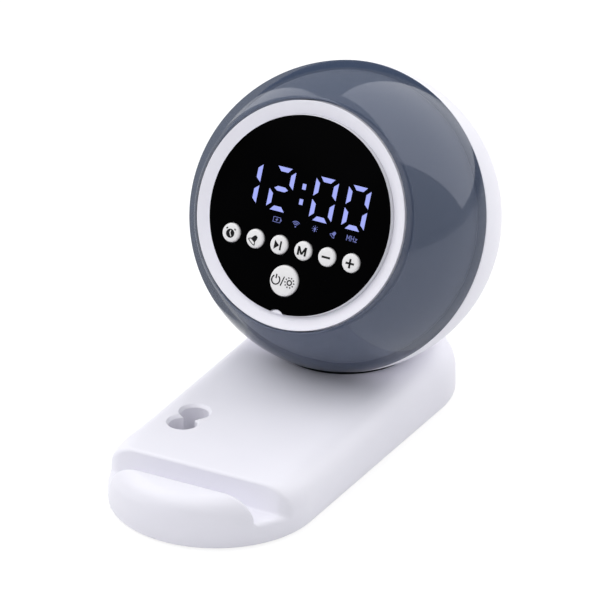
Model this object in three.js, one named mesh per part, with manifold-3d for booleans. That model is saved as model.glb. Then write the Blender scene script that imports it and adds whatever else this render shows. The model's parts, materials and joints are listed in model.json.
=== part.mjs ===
// A ball-shaped clock speaker with a lamp shade, standing in the well of a long phone stand.
// Millimetres, +Z up, the display faces -Y. The stand's feet rest on Z = 0.
import * as THREE from "three";
import { mergeVertices } from "three/addons/utils/BufferGeometryUtils.js";
import Module from "manifold-3d";

const wasm = await Module();
wasm.setup();

// Driving dimensions
const BALL_RADIUS = 50;
const FACE_TILT = THREE.MathUtils.degToRad(25); // the display leans back from upright
const FIT = 0.3; // clearance between neighbouring pieces
const BITE = 0.5; // how far joined pieces reach into each other
const STAND_HALF_WIDTH = 34.4;
const STAND_AHEAD = 119.7; // stand's front tip, ahead of the ball's centre
const STAND_BEHIND = 36.4; // stand's rear end, behind the ball's centre
const STAND_THICK = 16.7;
const STAND_ROUNDING = 10.2; // radius of the deck's edge
const FOOT_PROUD = 0.8; // the feet lift the stand's lower edge off the table
const BALL_LIFT = 62; // ball's centre above the stand's lower edge
const SKIN = 2.4; // wall of the stand and of its well and groove

// The frame's origin is below the middle of the whole object
const BALL_Y = (STAND_AHEAD - BALL_RADIUS) / 2;
const STAND_LOW = FOOT_PROUD;
const DECK = STAND_LOW + STAND_THICK;
const BALL_Z = STAND_LOW + BALL_LIFT;
const HEAD_TURN = Math.PI / 2 - FACE_TILT;
const ABOVE = 40; // cutters of the stand run up to this height, past the deck
const FAR = 60; // cutters of the ball run out to this distance, past its surface

// Well, phone groove and cable hole of the stand
const WELL_RADIUS = 22.8;
const WELL_FLOOR = 11.6;
const LINER_INNER_RADIUS = 13;
const LINER_TOP = 14.2;
const GROOVE_BACK = -97.1; // groove's back edge on the deck, from the ball's centre
const GROOVE_FRONT = -109.5;
const GROOVE_FLOOR = STAND_LOW + 7.2;
const GROOVE_LEAN = 1.1; // the phone leans back by this much over the groove's depth
const GROOVE_SOFTNESS = 1.3;
const CABLE_X = -19;
const CABLE_Y = [-65, -73];
const CABLE_RADIUS = 4.5;
const CABLE_CHAMFER = 0.8;

// Stand's bottom: cover, screws, feet and weight
const COVER_THICK = 2;
const COVER_TOP = STAND_LOW + COVER_THICK;
const COVER_SCREWS = [[25, -86], [-25, -86], [26, 12], [-26, 12]];
const COVER_BOSS_RADIUS = 3;
const COVER_SCREW_SEAT = STAND_LOW + 0.9;
const COVER_SCREW_TIP = 9;
const COVER_BOSS_BORE = 11;
const FEET = [[17, -104], [-17, -104], [19, 18], [-19, 18]];
const FOOT_RADIUS = 5;
const FOOT_THICK = 1.5;
const WEIGHT = { width: 40, front: -56, back: -30, thick: 5 };

// Screws by place: radius and thickness of the head, radius of the shank
const SCREWS = {
  cover: { head: 2.8, thick: 0.8, shank: 1.25 },
  swivel: { head: 3.2, thick: 2, shank: 1.5 },
  hub: { head: 2, thick: 1.8, shank: 1.1 },
  ball: { head: 2.6, thick: 1.8, shank: 1.1 },
  board: { head: 1.8, thick: 1.4, shank: 0.8 },
};

// Swivel under the ball, heights from the ball's centre
const POST_RADIUS = 6;
const HUB_RADIUS = 11;
const HUB_TOP = -41.7;
const HUB_SEAT = -44;
const HUB_BOSS_RADIUS = 12;
const HUB_SCREW_X = 8.5;
const HUB_SCREW_TIP = HUB_SEAT - 2.8;
const WASHER_THICK = 0.8;
const RETAINER_RADIUS = 10.5;
const RETAINER_THICK = 1;

// Ball's shells, heights along the face's normal from the ball's centre
const SHELL_INNER = BALL_RADIUS - 2.5;
const SHADE_INNER = BALL_RADIUS - 4;
const TONGUE = { inner: 44.9, outer: 45.7, back: -6, front: 3 };
const SHADE_EDGE_SOFTNESS = 1.4;
const DIFFUSER_OUTER = 44.4;
const DIFFUSER_INNER = 43.2;
const BALL_POST_RADIUS = 3;
const BALL_POST_BORE = -12;
const BALL_SCREW_TIP = -10;
const BALL_SCREW_XY = 22.6;
const GRILLE_RADIUS = 20;
const GRILLE_WALL = 1.8;
const GRILLE_SKIRT = 1.4;
const GRILLE_PITCH = 5.6;
const GRILLE_HOLE = 1.2;
const GRILLE_HOLE_ROWS = 4;
const SPEAKER_SEAT = -39.8;
const SPEAKER_SEAT_RADIUS = 23.5;

// Face: bezel, lens and buttons, same heights
const BEZEL_RADIUS = 37.15;
const BEZEL_FACE = 32.9; // bezel's outer rim, from which its face slopes in to the lens
const BEZEL_DEEP = 31.6;
const BEZEL_CHAMFER = 0.4;
const BEZEL_SKIRT_BACK = 22;
const LENS_RADIUS = 32.45;
const LENS_TOP_RADIUS = 32.15;
const LENS_BACK = 31;
const LENS_FRONT = 33.3;
const LEDGE_INNER = 30.4;
const LEDGE_FRONT = LENS_BACK - FIT;
const LEDGE_BACK = LEDGE_FRONT - 1.5;
const TAB_RADIUS = 1.7;
const TAB_Y = -32.3;
const TAB_SUNK = 0.9; // below the lens, in a notch of its edge
const BUTTON_PITCH = 8.7;
const BUTTON_ROW_Y = -10.8;
const BUTTON_RADIUS = 3.2;
const POWER_BUTTON_Y = -21.5;
const POWER_BUTTON_RADIUS = 5.2;
const BUTTON_PROUD = 0.9;
const BUTTON_TRAVEL = 0.6;
const BUTTON_EDGE = 0.6;
const BUTTON_DOME = 0.05;
const FLANGE_WIDER = 0.85; // the flange behind the lens is wider than the cap by this much
const FLANGE_BACK = 29.5;
const ROW_BUTTONS = ["alarm", "bell", "play", "mode", "minus", "plus"];
const BUTTONS = ROW_BUTTONS.map((word, index) => ({
  name: `button_${word}`,
  x: (index - (ROW_BUTTONS.length - 1) / 2) * BUTTON_PITCH,
  y: BUTTON_ROW_Y,
  radius: BUTTON_RADIUS,
}));
BUTTONS.push({ name: "button_power", x: 0, y: POWER_BUTTON_Y, radius: POWER_BUTTON_RADIUS });

// Boards and inner frame, same heights
const BOARD_FRONT = 25;
const BOARD_BACK = BOARD_FRONT - 1.6;
const BOARD_RADIUS = 34.6;
const BOARD_SCREW_CIRCLE = 32.8;
const BOARD_SCREW_TIP = 28.5;
const BOARD_POST_RADIUS = 2;
const SWITCH = { half: 3, height: 3.3, plunger: 1.7 };
const DIGIT_BLOCK = { width: 50, low: -1.8, high: 15.2 };
const FRAME_BACK = 3.6;
const FRAME_FRONT = FRAME_BACK + 2;
const FRAME_WALL_INNER = 35.2;
const STANDOFF_RADIUS = 2.5;
const MAIN_BOARD = { width: 52, height: 36, back: 0.2, thick: 1.6, screwX: 23.8, screwY: 15.5 };
const MAIN_BOARD_FRONT = MAIN_BOARD.back + MAIN_BOARD.thick;
const COMPONENT_HEIGHT = 1.2;
const COMPONENTS = [[-6, 6, -5, 5], [10, 18, -12, -6], [-20, -12, 2, 12]];
const BATTERY = { width: 42, height: 30, back: -9, front: -2 };
const LAMP = { inner: 37.6, outer: 42.2, circle: 39.9, thick: 1.2, chips: 12, chip: 2.8, chipHeight: 0.8 };
const WIRE_RADIUS = 0.7;
const BATTERY_LEAD = [[21.3, -4, -5.5], [23.2, -4, -5], [24.2, -3, -3], [24.4, -2, -0.1]];
const SPEAKER_LEAD = [[21, 6, -0.1], [24, 6, -4], [24.5, 5, -14], [20, 4, -24], [16.6, 3, -30]];

// USB socket: out along a line that leaves the ball's rear pole by this angle, upwards
const USB_ANGLE = THREE.MathUtils.degToRad(40);
const SOCKET = { width: 8.9, height: 3.2, wall: 0.3, base: 0.8, back: 42.2, mouth: 49.5 };
const SOCKET_TONGUE = { half: 3.3, halfThick: 0.35, short: 1.5 };
const PORT_BOARD = { half: 7, thick: 1.2, back: 38, front: 46.3 };

// Speaker, which fires backwards: radii, and heights along the face's normal
const GASKET = { inner: 18.6, outer: 22.3, low: -39.5, high: -38.5 };
const BASKET = { flange: 22.3, mouth: 17.6, throat: 11.2, bore: 6.3, low: -38.2, neck: -27.9, wall: 1 };
const MAGNET = { inner: 6, outer: 11, low: -26.6, high: -20 };
const YOKE = { pole: 4, tip: -27, plate: -19.7, high: -17.5 };
const COIL = { inner: 4.4, outer: 5.4, low: -31.5, high: -23.5 };
const CONE = { mouth: 15, throat: 5.6, mouthZ: -38, throatZ: -33, capZ: -34.6, wall: 0.9 };
const SURROUND = { inner: 15.3, outer: 17.3, foot: -37.6, crest: -39.1, wall: 0.5 };

// How finely round pieces are divided
const FINE = 40;
const ROUND = 32;
const MEDIUM = 18;
const SMALL = 12;
const COARSE = 8;

// Turns a closed geometry into a solid for joining and cutting.
function solid(geometry) {
  const plain = new THREE.BufferGeometry();
  const source = geometry.index ? geometry.toNonIndexed() : geometry;
  plain.setAttribute("position", source.getAttribute("position"));
  const merged = mergeVertices(plain, 1e-4);
  const corners = merged.index.array;
  const kept = [];
  for (let i = 0; i < corners.length; i += 3) {
    const [a, b, c] = [corners[i], corners[i + 1], corners[i + 2]];
    if (a !== b && b !== c && c !== a) kept.push(a, b, c);
  }
  return new wasm.Manifold(
    new wasm.Mesh({
      numProp: 3,
      vertProperties: new Float32Array(merged.attributes.position.array),
      triVerts: new Uint32Array(kept),
    }),
  );
}

// Turns a solid back into a geometry that a mesh can show.
function geometryOf(body) {
  const mesh = body.getMesh();
  const geometry = new THREE.BufferGeometry();
  geometry.setAttribute("position", new THREE.BufferAttribute(mesh.vertProperties, 3));
  geometry.setIndex(new THREE.BufferAttribute(mesh.triVerts, 1));
  geometry.computeVertexNormals();
  return geometry;
}

// Joins solids into one.
function joined(...bodies) {
  return bodies.reduce((whole, body) => whole.add(body));
}

// Cuts every later solid out of the first.
function cut(body, ...tools) {
  return tools.reduce((left, tool) => left.subtract(tool), body);
}

// A solid moved by a matrix.
function moved(body, matrix) {
  return solid(geometryOf(body).applyMatrix4(matrix));
}

// Revolves a profile of [radius, height] points round Z; the profile closes on itself.
function turned(profile, segments = MEDIUM) {
  const area = profile.reduce((sum, [r, z], i) => {
    const [r2, z2] = profile[(i + 1) % profile.length];
    return sum + r * z2 - r2 * z;
  }, 0);
  const ordered = area > 0 ? profile : [...profile].reverse();
  const points = [...ordered, ordered[0]].map(([r, z]) => new THREE.Vector2(r, z));
  return solid(new THREE.LatheGeometry(points, segments).rotateX(Math.PI / 2));
}

// A flat ring with a square section.
function ring(inner, outer, low, high, segments = MEDIUM) {
  return turned([[inner, low], [outer, low], [outer, high], [inner, high]], segments);
}

// Points of a circle's arc about the ball's centre, by latitude in radians.
function latitudes(radius, from, to, steps) {
  return Array.from({ length: steps + 1 }, (_, i) => {
    const angle = from + ((to - from) * i) / steps;
    return [radius * Math.cos(angle), radius * Math.sin(angle)];
  });
}

// A round pillar standing along Z.
function pillar(radius, low, high, x = 0, y = 0, segments = COARSE) {
  const geometry = new THREE.CylinderGeometry(radius, radius, high - low, segments);
  return solid(geometry.rotateX(Math.PI / 2).translate(x, y, (low + high) / 2));
}

// A block given by its width, height and depth limits.
function block(x0, x1, y0, y1, z0, z1) {
  const geometry = new THREE.BoxGeometry(x1 - x0, y1 - y0, z1 - z0);
  return solid(geometry.translate((x0 + x1) / 2, (y0 + y1) / 2, (z0 + z1) / 2));
}

// A flat outline raised from one height to another.
function raised(shape, low, high, segments = COARSE) {
  const settings = { depth: high - low, bevelEnabled: false, curveSegments: segments };
  return solid(new THREE.ExtrudeGeometry(shape, settings).translate(0, 0, low));
}

// A screw along Z: the shank runs from the neck to the tip, the head lies on the neck's other side.
function screw({ head: headRadius, thick, shank }, neck, tip) {
  const face = neck + thick * Math.sign(neck - tip);
  const outline = [[0, face], [headRadius, face], [headRadius, neck], [shank, neck], [shank, tip], [0, tip]];
  return turned(outline, COARSE);
}

// Cutters that clear a screw's shank at several places.
function screwHoles({ shank }, low, high, places) {
  return places.map(([x, y]) => pillar(shank + FIT, low, high, x, y));
}

// A round wire through a list of points.
function wire(points) {
  const path = new THREE.CatmullRomCurve3(points.map((point) => new THREE.Vector3(...point)));
  const section = new THREE.Shape().absarc(0, 0, WIRE_RADIUS, 0, 2 * Math.PI);
  return solid(new THREE.ExtrudeGeometry(section, { steps: 8, curveSegments: 3, extrudePath: path }));
}

// Finishes
const finish = (color, roughness, metalness = 0) => ({ color, roughness, metalness });
const WHITE = finish(0xeeeef4, 0.35);
const SMOKED = finish(0x555d70, 0.1);
const MILKY = finish(0xf4f4f2, 0.55);
const GLOSS_BLACK = finish(0x060607, 0.15);
const RUBBER = finish(0x151517, 0.8);
const BOARD_GREEN = finish(0x1f5a38, 0.55);
const BOARD_WHITE = finish(0xe9e9e4, 0.5);
const STEEL = finish(0x9c9fa4, 0.35, 0.9);
const FERRITE = finish(0x3b3b3e, 0.5, 0.3);
const PAPER = finish(0x2a2a2c, 0.85);
const COPPER = finish(0xb87347, 0.4, 0.8);
const SILVER_FOIL = finish(0xb9bcc2, 0.4, 0.3);
const GREY_FOAM = finish(0x4b4c50, 0.95);
const ACETAL = finish(0x1c1c1f, 0.45);
const RED_WIRE = finish(0xa02020, 0.6);
const BLACK_WIRE = finish(0x202024, 0.6);

// Groups: the stand, the upright swivel, the tilted ball and the USB port inside it
const clock = new THREE.Group();
const stand = new THREE.Group();
const swivel = new THREE.Group();
const ball = new THREE.Group();
const port = new THREE.Group();
stand.position.set(0, BALL_Y, 0);
swivel.position.set(0, BALL_Y, BALL_Z);
ball.position.set(0, BALL_Y, BALL_Z);
ball.rotation.x = HEAD_TURN;
const portTurn = new THREE.Matrix4().makeBasis(
  new THREE.Vector3(-1, 0, 0),
  new THREE.Vector3(0, Math.cos(USB_ANGLE), Math.sin(USB_ANGLE)),
  new THREE.Vector3(0, Math.sin(USB_ANGLE), -Math.cos(USB_ANGLE)),
);
port.setRotationFromMatrix(portTurn);
ball.add(port);
clock.add(stand, swivel, ball);

// Adds one named sub-part to a group.
function place(group, name, body, look) {
  const mesh = new THREE.Mesh(geometryOf(body), new THREE.MeshStandardMaterial(look));
  mesh.name = name;
  group.add(mesh);
  return mesh;
}

// Adds one numbered copy of a sub-part at each place.
function placeEach(group, name, body, look, places) {
  places.forEach(([x, y], index) => {
    place(group, `${name}_${index + 1}`, body, look).position.set(x, y, 0);
  });
}

// Screw places that more than one piece shares
const hubScrewPlaces = [[HUB_SCREW_X, 0], [-HUB_SCREW_X, 0]];
const ballScrewPlaces = [[1, 1], [-1, 1], [-1, -1], [1, -1]].map(([sideX, sideY]) => [
  sideX * BALL_SCREW_XY,
  sideY * BALL_SCREW_XY,
]);
const boardScrewPlaces = [0, 1, 2].map((third) => {
  const angle = (third * 2 * Math.PI) / 3;
  return [BOARD_SCREW_CIRCLE * Math.cos(angle), BOARD_SCREW_CIRCLE * Math.sin(angle)];
});
const mainScrewPlaces = [
  [MAIN_BOARD.screwX, MAIN_BOARD.screwY],
  [-MAIN_BOARD.screwX, -MAIN_BOARD.screwY],
];

// Stand: a long outline with round ends, seen from above
function standOutline(inset) {
  const radius = STAND_HALF_WIDTH - inset;
  const front = STAND_HALF_WIDTH - STAND_AHEAD;
  const rear = STAND_BEHIND - STAND_HALF_WIDTH;
  const shape = new THREE.Shape();
  shape.absarc(0, rear, radius, 0, Math.PI);
  shape.absarc(0, front, radius, Math.PI, 2 * Math.PI);
  return shape;
}

// The stand's body, or its hollow, with a rounded deck edge and an open foot.
function standBody(inset) {
  const rounding = STAND_ROUNDING - inset;
  const settings = {
    depth: STAND_THICK,
    bevelThickness: rounding,
    bevelSize: rounding,
    bevelSegments: 4,
    curveSegments: SMALL,
  };
  const geometry = new THREE.ExtrudeGeometry(standOutline(inset + rounding), settings);
  const whole = solid(geometry.translate(0, 0, DECK - inset - rounding - STAND_THICK));
  const foot = inset > 0 ? STAND_LOW - BITE : STAND_LOW;
  return whole.intersect(block(-STAND_AHEAD, STAND_AHEAD, -2 * STAND_AHEAD, STAND_AHEAD, foot, ABOVE));
}

// Both lobes of the cable hole, widened by margin.
function cableLobes(margin, low, high) {
  return joined(...CABLE_Y.map((y) => pillar(CABLE_RADIUS + margin, low, high, CABLE_X, y, SMALL)));
}

// Cutters for the sloping rim of each lobe.
function cableRims() {
  const rim = CABLE_RADIUS + CABLE_CHAMFER;
  const low = DECK - CABLE_CHAMFER;
  const outline = [[0, low], [CABLE_RADIUS, low], [rim, DECK], [rim, ABOVE], [0, ABOVE]];
  const cone = turned(outline, SMALL);
  return CABLE_Y.map((y) => moved(cone, new THREE.Matrix4().makeTranslation(CABLE_X, y, 0)));
}

// The groove's section, swept across the whole stand.
function grooveCutter() {
  const soft = GROOVE_SOFTNESS;
  const back = GROOVE_BACK - GROOVE_LEAN;
  const shape = new THREE.Shape();
  shape.moveTo(GROOVE_FRONT - soft, ABOVE);
  shape.lineTo(GROOVE_FRONT - soft, DECK);
  shape.quadraticCurveTo(GROOVE_FRONT, DECK, GROOVE_FRONT, DECK - soft);
  shape.lineTo(GROOVE_FRONT, GROOVE_FLOOR + soft);
  shape.quadraticCurveTo(GROOVE_FRONT, GROOVE_FLOOR, GROOVE_FRONT + soft, GROOVE_FLOOR);
  shape.lineTo(back - soft, GROOVE_FLOOR);
  shape.quadraticCurveTo(back, GROOVE_FLOOR, back, GROOVE_FLOOR + soft);
  shape.lineTo(GROOVE_BACK, DECK - soft);
  shape.quadraticCurveTo(GROOVE_BACK, DECK, GROOVE_BACK + soft, DECK);
  shape.lineTo(GROOVE_BACK + soft, ABOVE);
  const across = new THREE.Matrix4().makeBasis(
    new THREE.Vector3(0, 1, 0),
    new THREE.Vector3(0, 0, 1),
    new THREE.Vector3(1, 0, 0),
  );
  return moved(raised(shape, -STAND_HALF_WIDTH - BITE, STAND_HALF_WIDTH + BITE, 4), across);
}

// Stand's shell: deck, groove, lip, cable hole, well and screw bosses
function standShell() {
  const wellCup = pillar(WELL_RADIUS + SKIN, WELL_FLOOR - SKIN, ABOVE, 0, 0, MEDIUM);
  const grooveTray = block(
    -STAND_AHEAD,
    STAND_AHEAD,
    GROOVE_FRONT - SKIN,
    GROOVE_BACK + SKIN,
    GROOVE_FLOOR - SKIN,
    ABOVE,
  );
  const onCover = COVER_TOP + FIT;
  const bosses = COVER_SCREWS.map(([x, y]) => pillar(COVER_BOSS_RADIUS, onCover, ABOVE, x, y));
  const cableTube = cableLobes(SKIN, onCover, ABOVE);
  return cut(
    standBody(0),
    cut(standBody(SKIN), wellCup, grooveTray, cableTube, ...bosses),
    grooveCutter(),
    cableLobes(0, -BITE, ABOVE),
    ...cableRims(),
    pillar(WELL_RADIUS, WELL_FLOOR, ABOVE, 0, 0, ROUND),
    pillar(POST_RADIUS + FIT, -BITE, ABOVE, 0, 0, MEDIUM),
    ...screwHoles(SCREWS.cover, 0, COVER_BOSS_BORE, COVER_SCREWS),
  );
}

// Stand's bottom cover with counterbored screw holes and recesses for the feet
function standCover() {
  const counterbores = COVER_SCREWS.map(([x, y]) =>
    pillar(SCREWS.cover.head + FIT, 0, COVER_SCREW_SEAT + FIT, x, y),
  );
  return cut(
    raised(standOutline(SKIN + FIT), STAND_LOW, COVER_TOP, SMALL),
    cableLobes(0, 0, ABOVE),
    ...screwHoles(SCREWS.cover, 0, ABOVE, COVER_SCREWS),
    ...counterbores,
    ...FEET.map(([x, y]) => pillar(FOOT_RADIUS + FIT, 0, FOOT_THICK + FIT, x, y, SMALL)),
  );
}

// Stand with its cover, screws, feet, weight and the liner of the well
function buildStand() {
  place(stand, "stand_shell", standShell(), WHITE);
  place(stand, "stand_cover", standCover(), WHITE);
  const halfWidth = WEIGHT.width / 2;
  const low = COVER_TOP + FIT;
  const weight = block(-halfWidth, halfWidth, WEIGHT.front, WEIGHT.back, low, low + WEIGHT.thick);
  place(stand, "stand_weight", weight, STEEL);
  const coverScrew = screw(SCREWS.cover, COVER_SCREW_SEAT, COVER_SCREW_TIP);
  placeEach(stand, "cover_screw", coverScrew, STEEL, COVER_SCREWS);
  placeEach(stand, "foot", pillar(FOOT_RADIUS, 0, FOOT_THICK, 0, 0, SMALL), RUBBER, FEET);
  const liner = ring(LINER_INNER_RADIUS, WELL_RADIUS - FIT, WELL_FLOOR + FIT, LINER_TOP, ROUND);
  place(stand, "well_liner", liner, RUBBER);
}

// Swivel: the washer stays with the stand, the post, retainer and screws turn with the ball
function buildSwivel() {
  const washerHigh = WELL_FLOOR - SKIN - BALL_Z - FIT;
  const washerLow = washerHigh - WASHER_THICK;
  const retainerHigh = washerLow - FIT;
  const retainerLow = retainerHigh - RETAINER_THICK;
  const bore = SCREWS.swivel.shank + FIT;
  place(swivel, "swivel_washer", ring(POST_RADIUS + FIT, HUB_RADIUS, washerLow, washerHigh), ACETAL);
  const post = joined(
    ring(bore, POST_RADIUS, washerLow, HUB_TOP),
    ring(POST_RADIUS - BITE, HUB_RADIUS, HUB_SEAT + FIT, HUB_TOP),
  );
  const postHoles = screwHoles(SCREWS.hub, HUB_SEAT, HUB_TOP + BITE, hubScrewPlaces);
  place(swivel, "swivel_post", cut(post, ...postHoles), ACETAL);
  place(swivel, "swivel_retainer", ring(bore, RETAINER_RADIUS, retainerLow, retainerHigh), STEEL);
  place(swivel, "swivel_screw", screw(SCREWS.swivel, retainerLow - FIT, HUB_SEAT), STEEL);
  const hubScrew = screw(SCREWS.hub, HUB_TOP + FIT, HUB_SCREW_TIP);
  placeEach(swivel, "hub_screw", hubScrew, STEEL, hubScrewPlaces);
}

// A flat slot outline with round ends.
function slotOutline(width, height) {
  const end = height / 2;
  const straight = width / 2 - end;
  const shape = new THREE.Shape();
  shape.absarc(straight, 0, end, -Math.PI / 2, Math.PI / 2);
  shape.absarc(-straight, 0, end, Math.PI / 2, 1.5 * Math.PI);
  return shape;
}

// USB socket and its board, drawn with +Z out of the ball
function buildPort() {
  const { width, height, wall, base, back, mouth } = SOCKET;
  const hollow = raised(slotOutline(width - 2 * wall, height - 2 * wall), back + base, FAR, 4);
  const can = cut(raised(slotOutline(width, height), back, mouth, 4), hollow);
  const { half, halfThick, short } = SOCKET_TONGUE;
  const tongue = block(-half, half, -halfThick, halfThick, back + base - BITE, mouth - short);
  place(port, "usb_socket", joined(can, tongue), STEEL);
  const top = -height / 2 - FIT;
  const board = PORT_BOARD;
  const plate = block(-board.half, board.half, top - board.thick, top, board.back, board.front);
  place(port, "port_board", plate, BOARD_GREEN);
}

// Ball's rear half: shell with seat for the speaker, posts for the screws and a boss for the swivel
function rearShell() {
  const opening = GRILLE_RADIUS + FIT;
  const parting = -FIT / 2;
  const poleSide = -Math.acos(SPEAKER_SEAT_RADIUS / SHELL_INNER);
  const cup = turned(
    [
      ...latitudes(BALL_RADIUS, -Math.acos(opening / BALL_RADIUS), Math.asin(parting / BALL_RADIUS), 6),
      [TONGUE.outer, parting],
      [TONGUE.outer, TONGUE.front],
      [TONGUE.inner, TONGUE.front],
      [TONGUE.inner, TONGUE.back],
      ...latitudes(SHELL_INNER, Math.asin(TONGUE.back / SHELL_INNER), poleSide, 4),
      [SPEAKER_SEAT_RADIUS, SPEAKER_SEAT],
      [opening, SPEAKER_SEAT],
    ],
    FINE,
  );
  const inside = solid(new THREE.SphereGeometry(BALL_RADIUS - 1, MEDIUM, SMALL));
  const upright = new THREE.Matrix4().makeRotationX(-HEAD_TURN);
  const fromUpright = (body) => moved(body, upright);
  const posts = ballScrewPlaces.map(([x, y]) => pillar(BALL_POST_RADIUS, -FAR, FRAME_BACK - FIT, x, y));
  const boss = fromUpright(pillar(HUB_BOSS_RADIUS, -FAR, HUB_SEAT, 0, 0, MEDIUM));
  const hubHoles = screwHoles(SCREWS.hub, HUB_SCREW_TIP - FIT, HUB_TOP, hubScrewPlaces);
  const socketSlot = slotOutline(SOCKET.width + 2 * FIT, SOCKET.height + 2 * FIT);
  return cut(
    joined(cup, ...[...posts, boss].map((body) => body.intersect(inside))),
    fromUpright(pillar(POST_RADIUS + FIT, -FAR, HUB_TOP, 0, 0, MEDIUM)),
    ...hubHoles.map(fromUpright),
    ...screwHoles(SCREWS.ball, BALL_POST_BORE, FRAME_FRONT, ballScrewPlaces),
    moved(raised(socketSlot, PORT_BOARD.back, FAR, 4), portTurn),
  );
}

// Rear grille: a cap flush with the ball, pierced in a honeycomb, with a skirt down to the speaker's seat
function rearGrille() {
  const skirt = GRILLE_RADIUS - GRILLE_SKIRT;
  const inner = BALL_RADIUS - GRILLE_WALL;
  const skirtEnd = SPEAKER_SEAT - FIT;
  const cap = turned([
    ...latitudes(BALL_RADIUS, -Math.PI / 2, -Math.acos(GRILLE_RADIUS / BALL_RADIUS), 3),
    [GRILLE_RADIUS, skirtEnd],
    [skirt, skirtEnd],
    ...latitudes(inner, -Math.acos(skirt / inner), -Math.PI / 2, 2),
  ]);
  const holes = [];
  const reach = skirt - 2 * GRILLE_HOLE;
  for (let row = -GRILLE_HOLE_ROWS; row <= GRILLE_HOLE_ROWS; row++) {
    for (let column = -2 * GRILLE_HOLE_ROWS; column <= 2 * GRILLE_HOLE_ROWS; column++) {
      const x = (column + row / 2) * GRILLE_PITCH;
      const y = row * GRILLE_PITCH * Math.sin(Math.PI / 3);
      if (Math.hypot(x, y) < reach) holes.push(pillar(GRILLE_HOLE, -FAR, skirtEnd, x, y, 6));
    }
  }
  return cut(cap, ...holes);
}

// Ball's front half: smoked shade with a soft edge round the bezel
function frontShade() {
  const opening = BEZEL_RADIUS + FIT;
  const edge = opening + SHADE_EDGE_SOFTNESS;
  const front = Math.sqrt(BALL_RADIUS ** 2 - edge ** 2);
  const parting = FIT / 2;
  const mouth = Math.acos(opening / SHADE_INNER);
  return turned(
    [
      ...latitudes(BALL_RADIUS, Math.asin(parting / BALL_RADIUS), Math.acos(edge / BALL_RADIUS), 5),
      [opening + 0.3 * SHADE_EDGE_SOFTNESS, front + 0.1],
      [opening, front - 0.6],
      ...latitudes(SHADE_INNER, mouth, Math.asin(parting / SHADE_INNER), 4),
    ],
    FINE,
  );
}

// Milky diffuser between the light chips and the shade
function innerDiffuser() {
  const back = FRAME_FRONT + FIT;
  const mouth = Math.acos((BEZEL_RADIUS + FIT) / DIFFUSER_INNER);
  return turned(
    [
      ...latitudes(DIFFUSER_OUTER, Math.asin(back / DIFFUSER_OUTER), mouth, 3),
      ...latitudes(DIFFUSER_INNER, mouth, Math.asin(back / DIFFUSER_INNER), 3),
    ],
    ROUND,
  );
}

// Ball's outer pieces
function buildShells() {
  place(ball, "rear_shell", rearShell(), WHITE);
  place(ball, "rear_grille", rearGrille(), WHITE);
  place(ball, "front_shade", frontShade(), SMOKED);
  place(ball, "inner_diffuser", innerDiffuser(), MILKY);
}

// Bezel: flat ring, ledge for the lens, skirt, board posts and the tab that keys the lens
function bezelRing() {
  const whole = turned(
    [
      [LENS_RADIUS + FIT, BEZEL_DEEP],
      [BEZEL_RADIUS - BEZEL_CHAMFER, BEZEL_FACE],
      [BEZEL_RADIUS, BEZEL_FACE - BEZEL_CHAMFER],
      [BEZEL_RADIUS, BEZEL_SKIRT_BACK],
      [FRAME_WALL_INNER, BEZEL_SKIRT_BACK],
      [FRAME_WALL_INNER, LEDGE_BACK],
      [LEDGE_INNER, LEDGE_BACK],
      [LEDGE_INNER, LEDGE_FRONT],
      [LENS_RADIUS + FIT, LEDGE_FRONT],
    ],
    ROUND,
  );
  const inLedge = LEDGE_BACK + BITE;
  const tab = pillar(TAB_RADIUS, inLedge, LENS_FRONT - TAB_SUNK, 0, TAB_Y, SMALL);
  const posts = boardScrewPlaces.map(([x, y]) =>
    pillar(BOARD_POST_RADIUS, BOARD_FRONT + FIT, inLedge, x, y),
  );
  const holes = screwHoles(SCREWS.board, BOARD_FRONT, BOARD_SCREW_TIP + FIT, boardScrewPlaces);
  return cut(joined(whole, tab, ...posts), ...holes);
}

// Lens: a black disc with a bevelled edge, a hole for each button and a notch for the tab
function displayLens() {
  const disc = turned(
    [
      [0, LENS_BACK],
      [LENS_RADIUS, LENS_BACK],
      [LENS_RADIUS, BEZEL_DEEP],
      [LENS_TOP_RADIUS, LENS_FRONT],
      [0, LENS_FRONT],
    ],
    ROUND,
  );
  const holes = [...BUTTONS, { x: 0, y: TAB_Y, radius: TAB_RADIUS }];
  const cutters = holes.map(({ x, y, radius }) => pillar(radius + FIT, LEDGE_BACK, FAR, x, y, SMALL));
  return cut(disc, ...cutters);
}

// Button: a domed cap through the lens and a wider flange behind it
function button(radius) {
  const top = LENS_FRONT + BUTTON_PROUD;
  const flangeFront = LENS_BACK - FIT;
  return turned(
    [
      [0, FLANGE_BACK],
      [radius + FLANGE_WIDER, FLANGE_BACK],
      [radius + FLANGE_WIDER, flangeFront],
      [radius, flangeFront],
      [radius, top - BUTTON_EDGE],
      [radius - 0.3 * BUTTON_EDGE, top - 0.3 * BUTTON_EDGE],
      [radius - BUTTON_EDGE, top - BUTTON_DOME],
      [0, top],
    ],
    SMALL,
  );
}

// Display board with a push switch behind each button, drawn at the end of its stroke
function displayBoard() {
  const disc = pillar(BOARD_RADIUS, BOARD_BACK, BOARD_FRONT, 0, 0, ROUND);
  const pressed = FLANGE_BACK - BUTTON_TRAVEL - 0.1;
  const { half, height, plunger } = SWITCH;
  const caseTop = BOARD_FRONT + height;
  const switches = BUTTONS.flatMap(({ x, y }) => [
    block(x - half, x + half, y - half, y + half, BOARD_FRONT - BITE, caseTop),
    pillar(plunger, caseTop - BITE, pressed, x, y),
  ]);
  const holes = screwHoles(SCREWS.board, BOARD_BACK - BITE, BOARD_FRONT + BITE, boardScrewPlaces);
  return cut(joined(disc, ...switches), ...holes);
}

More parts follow.
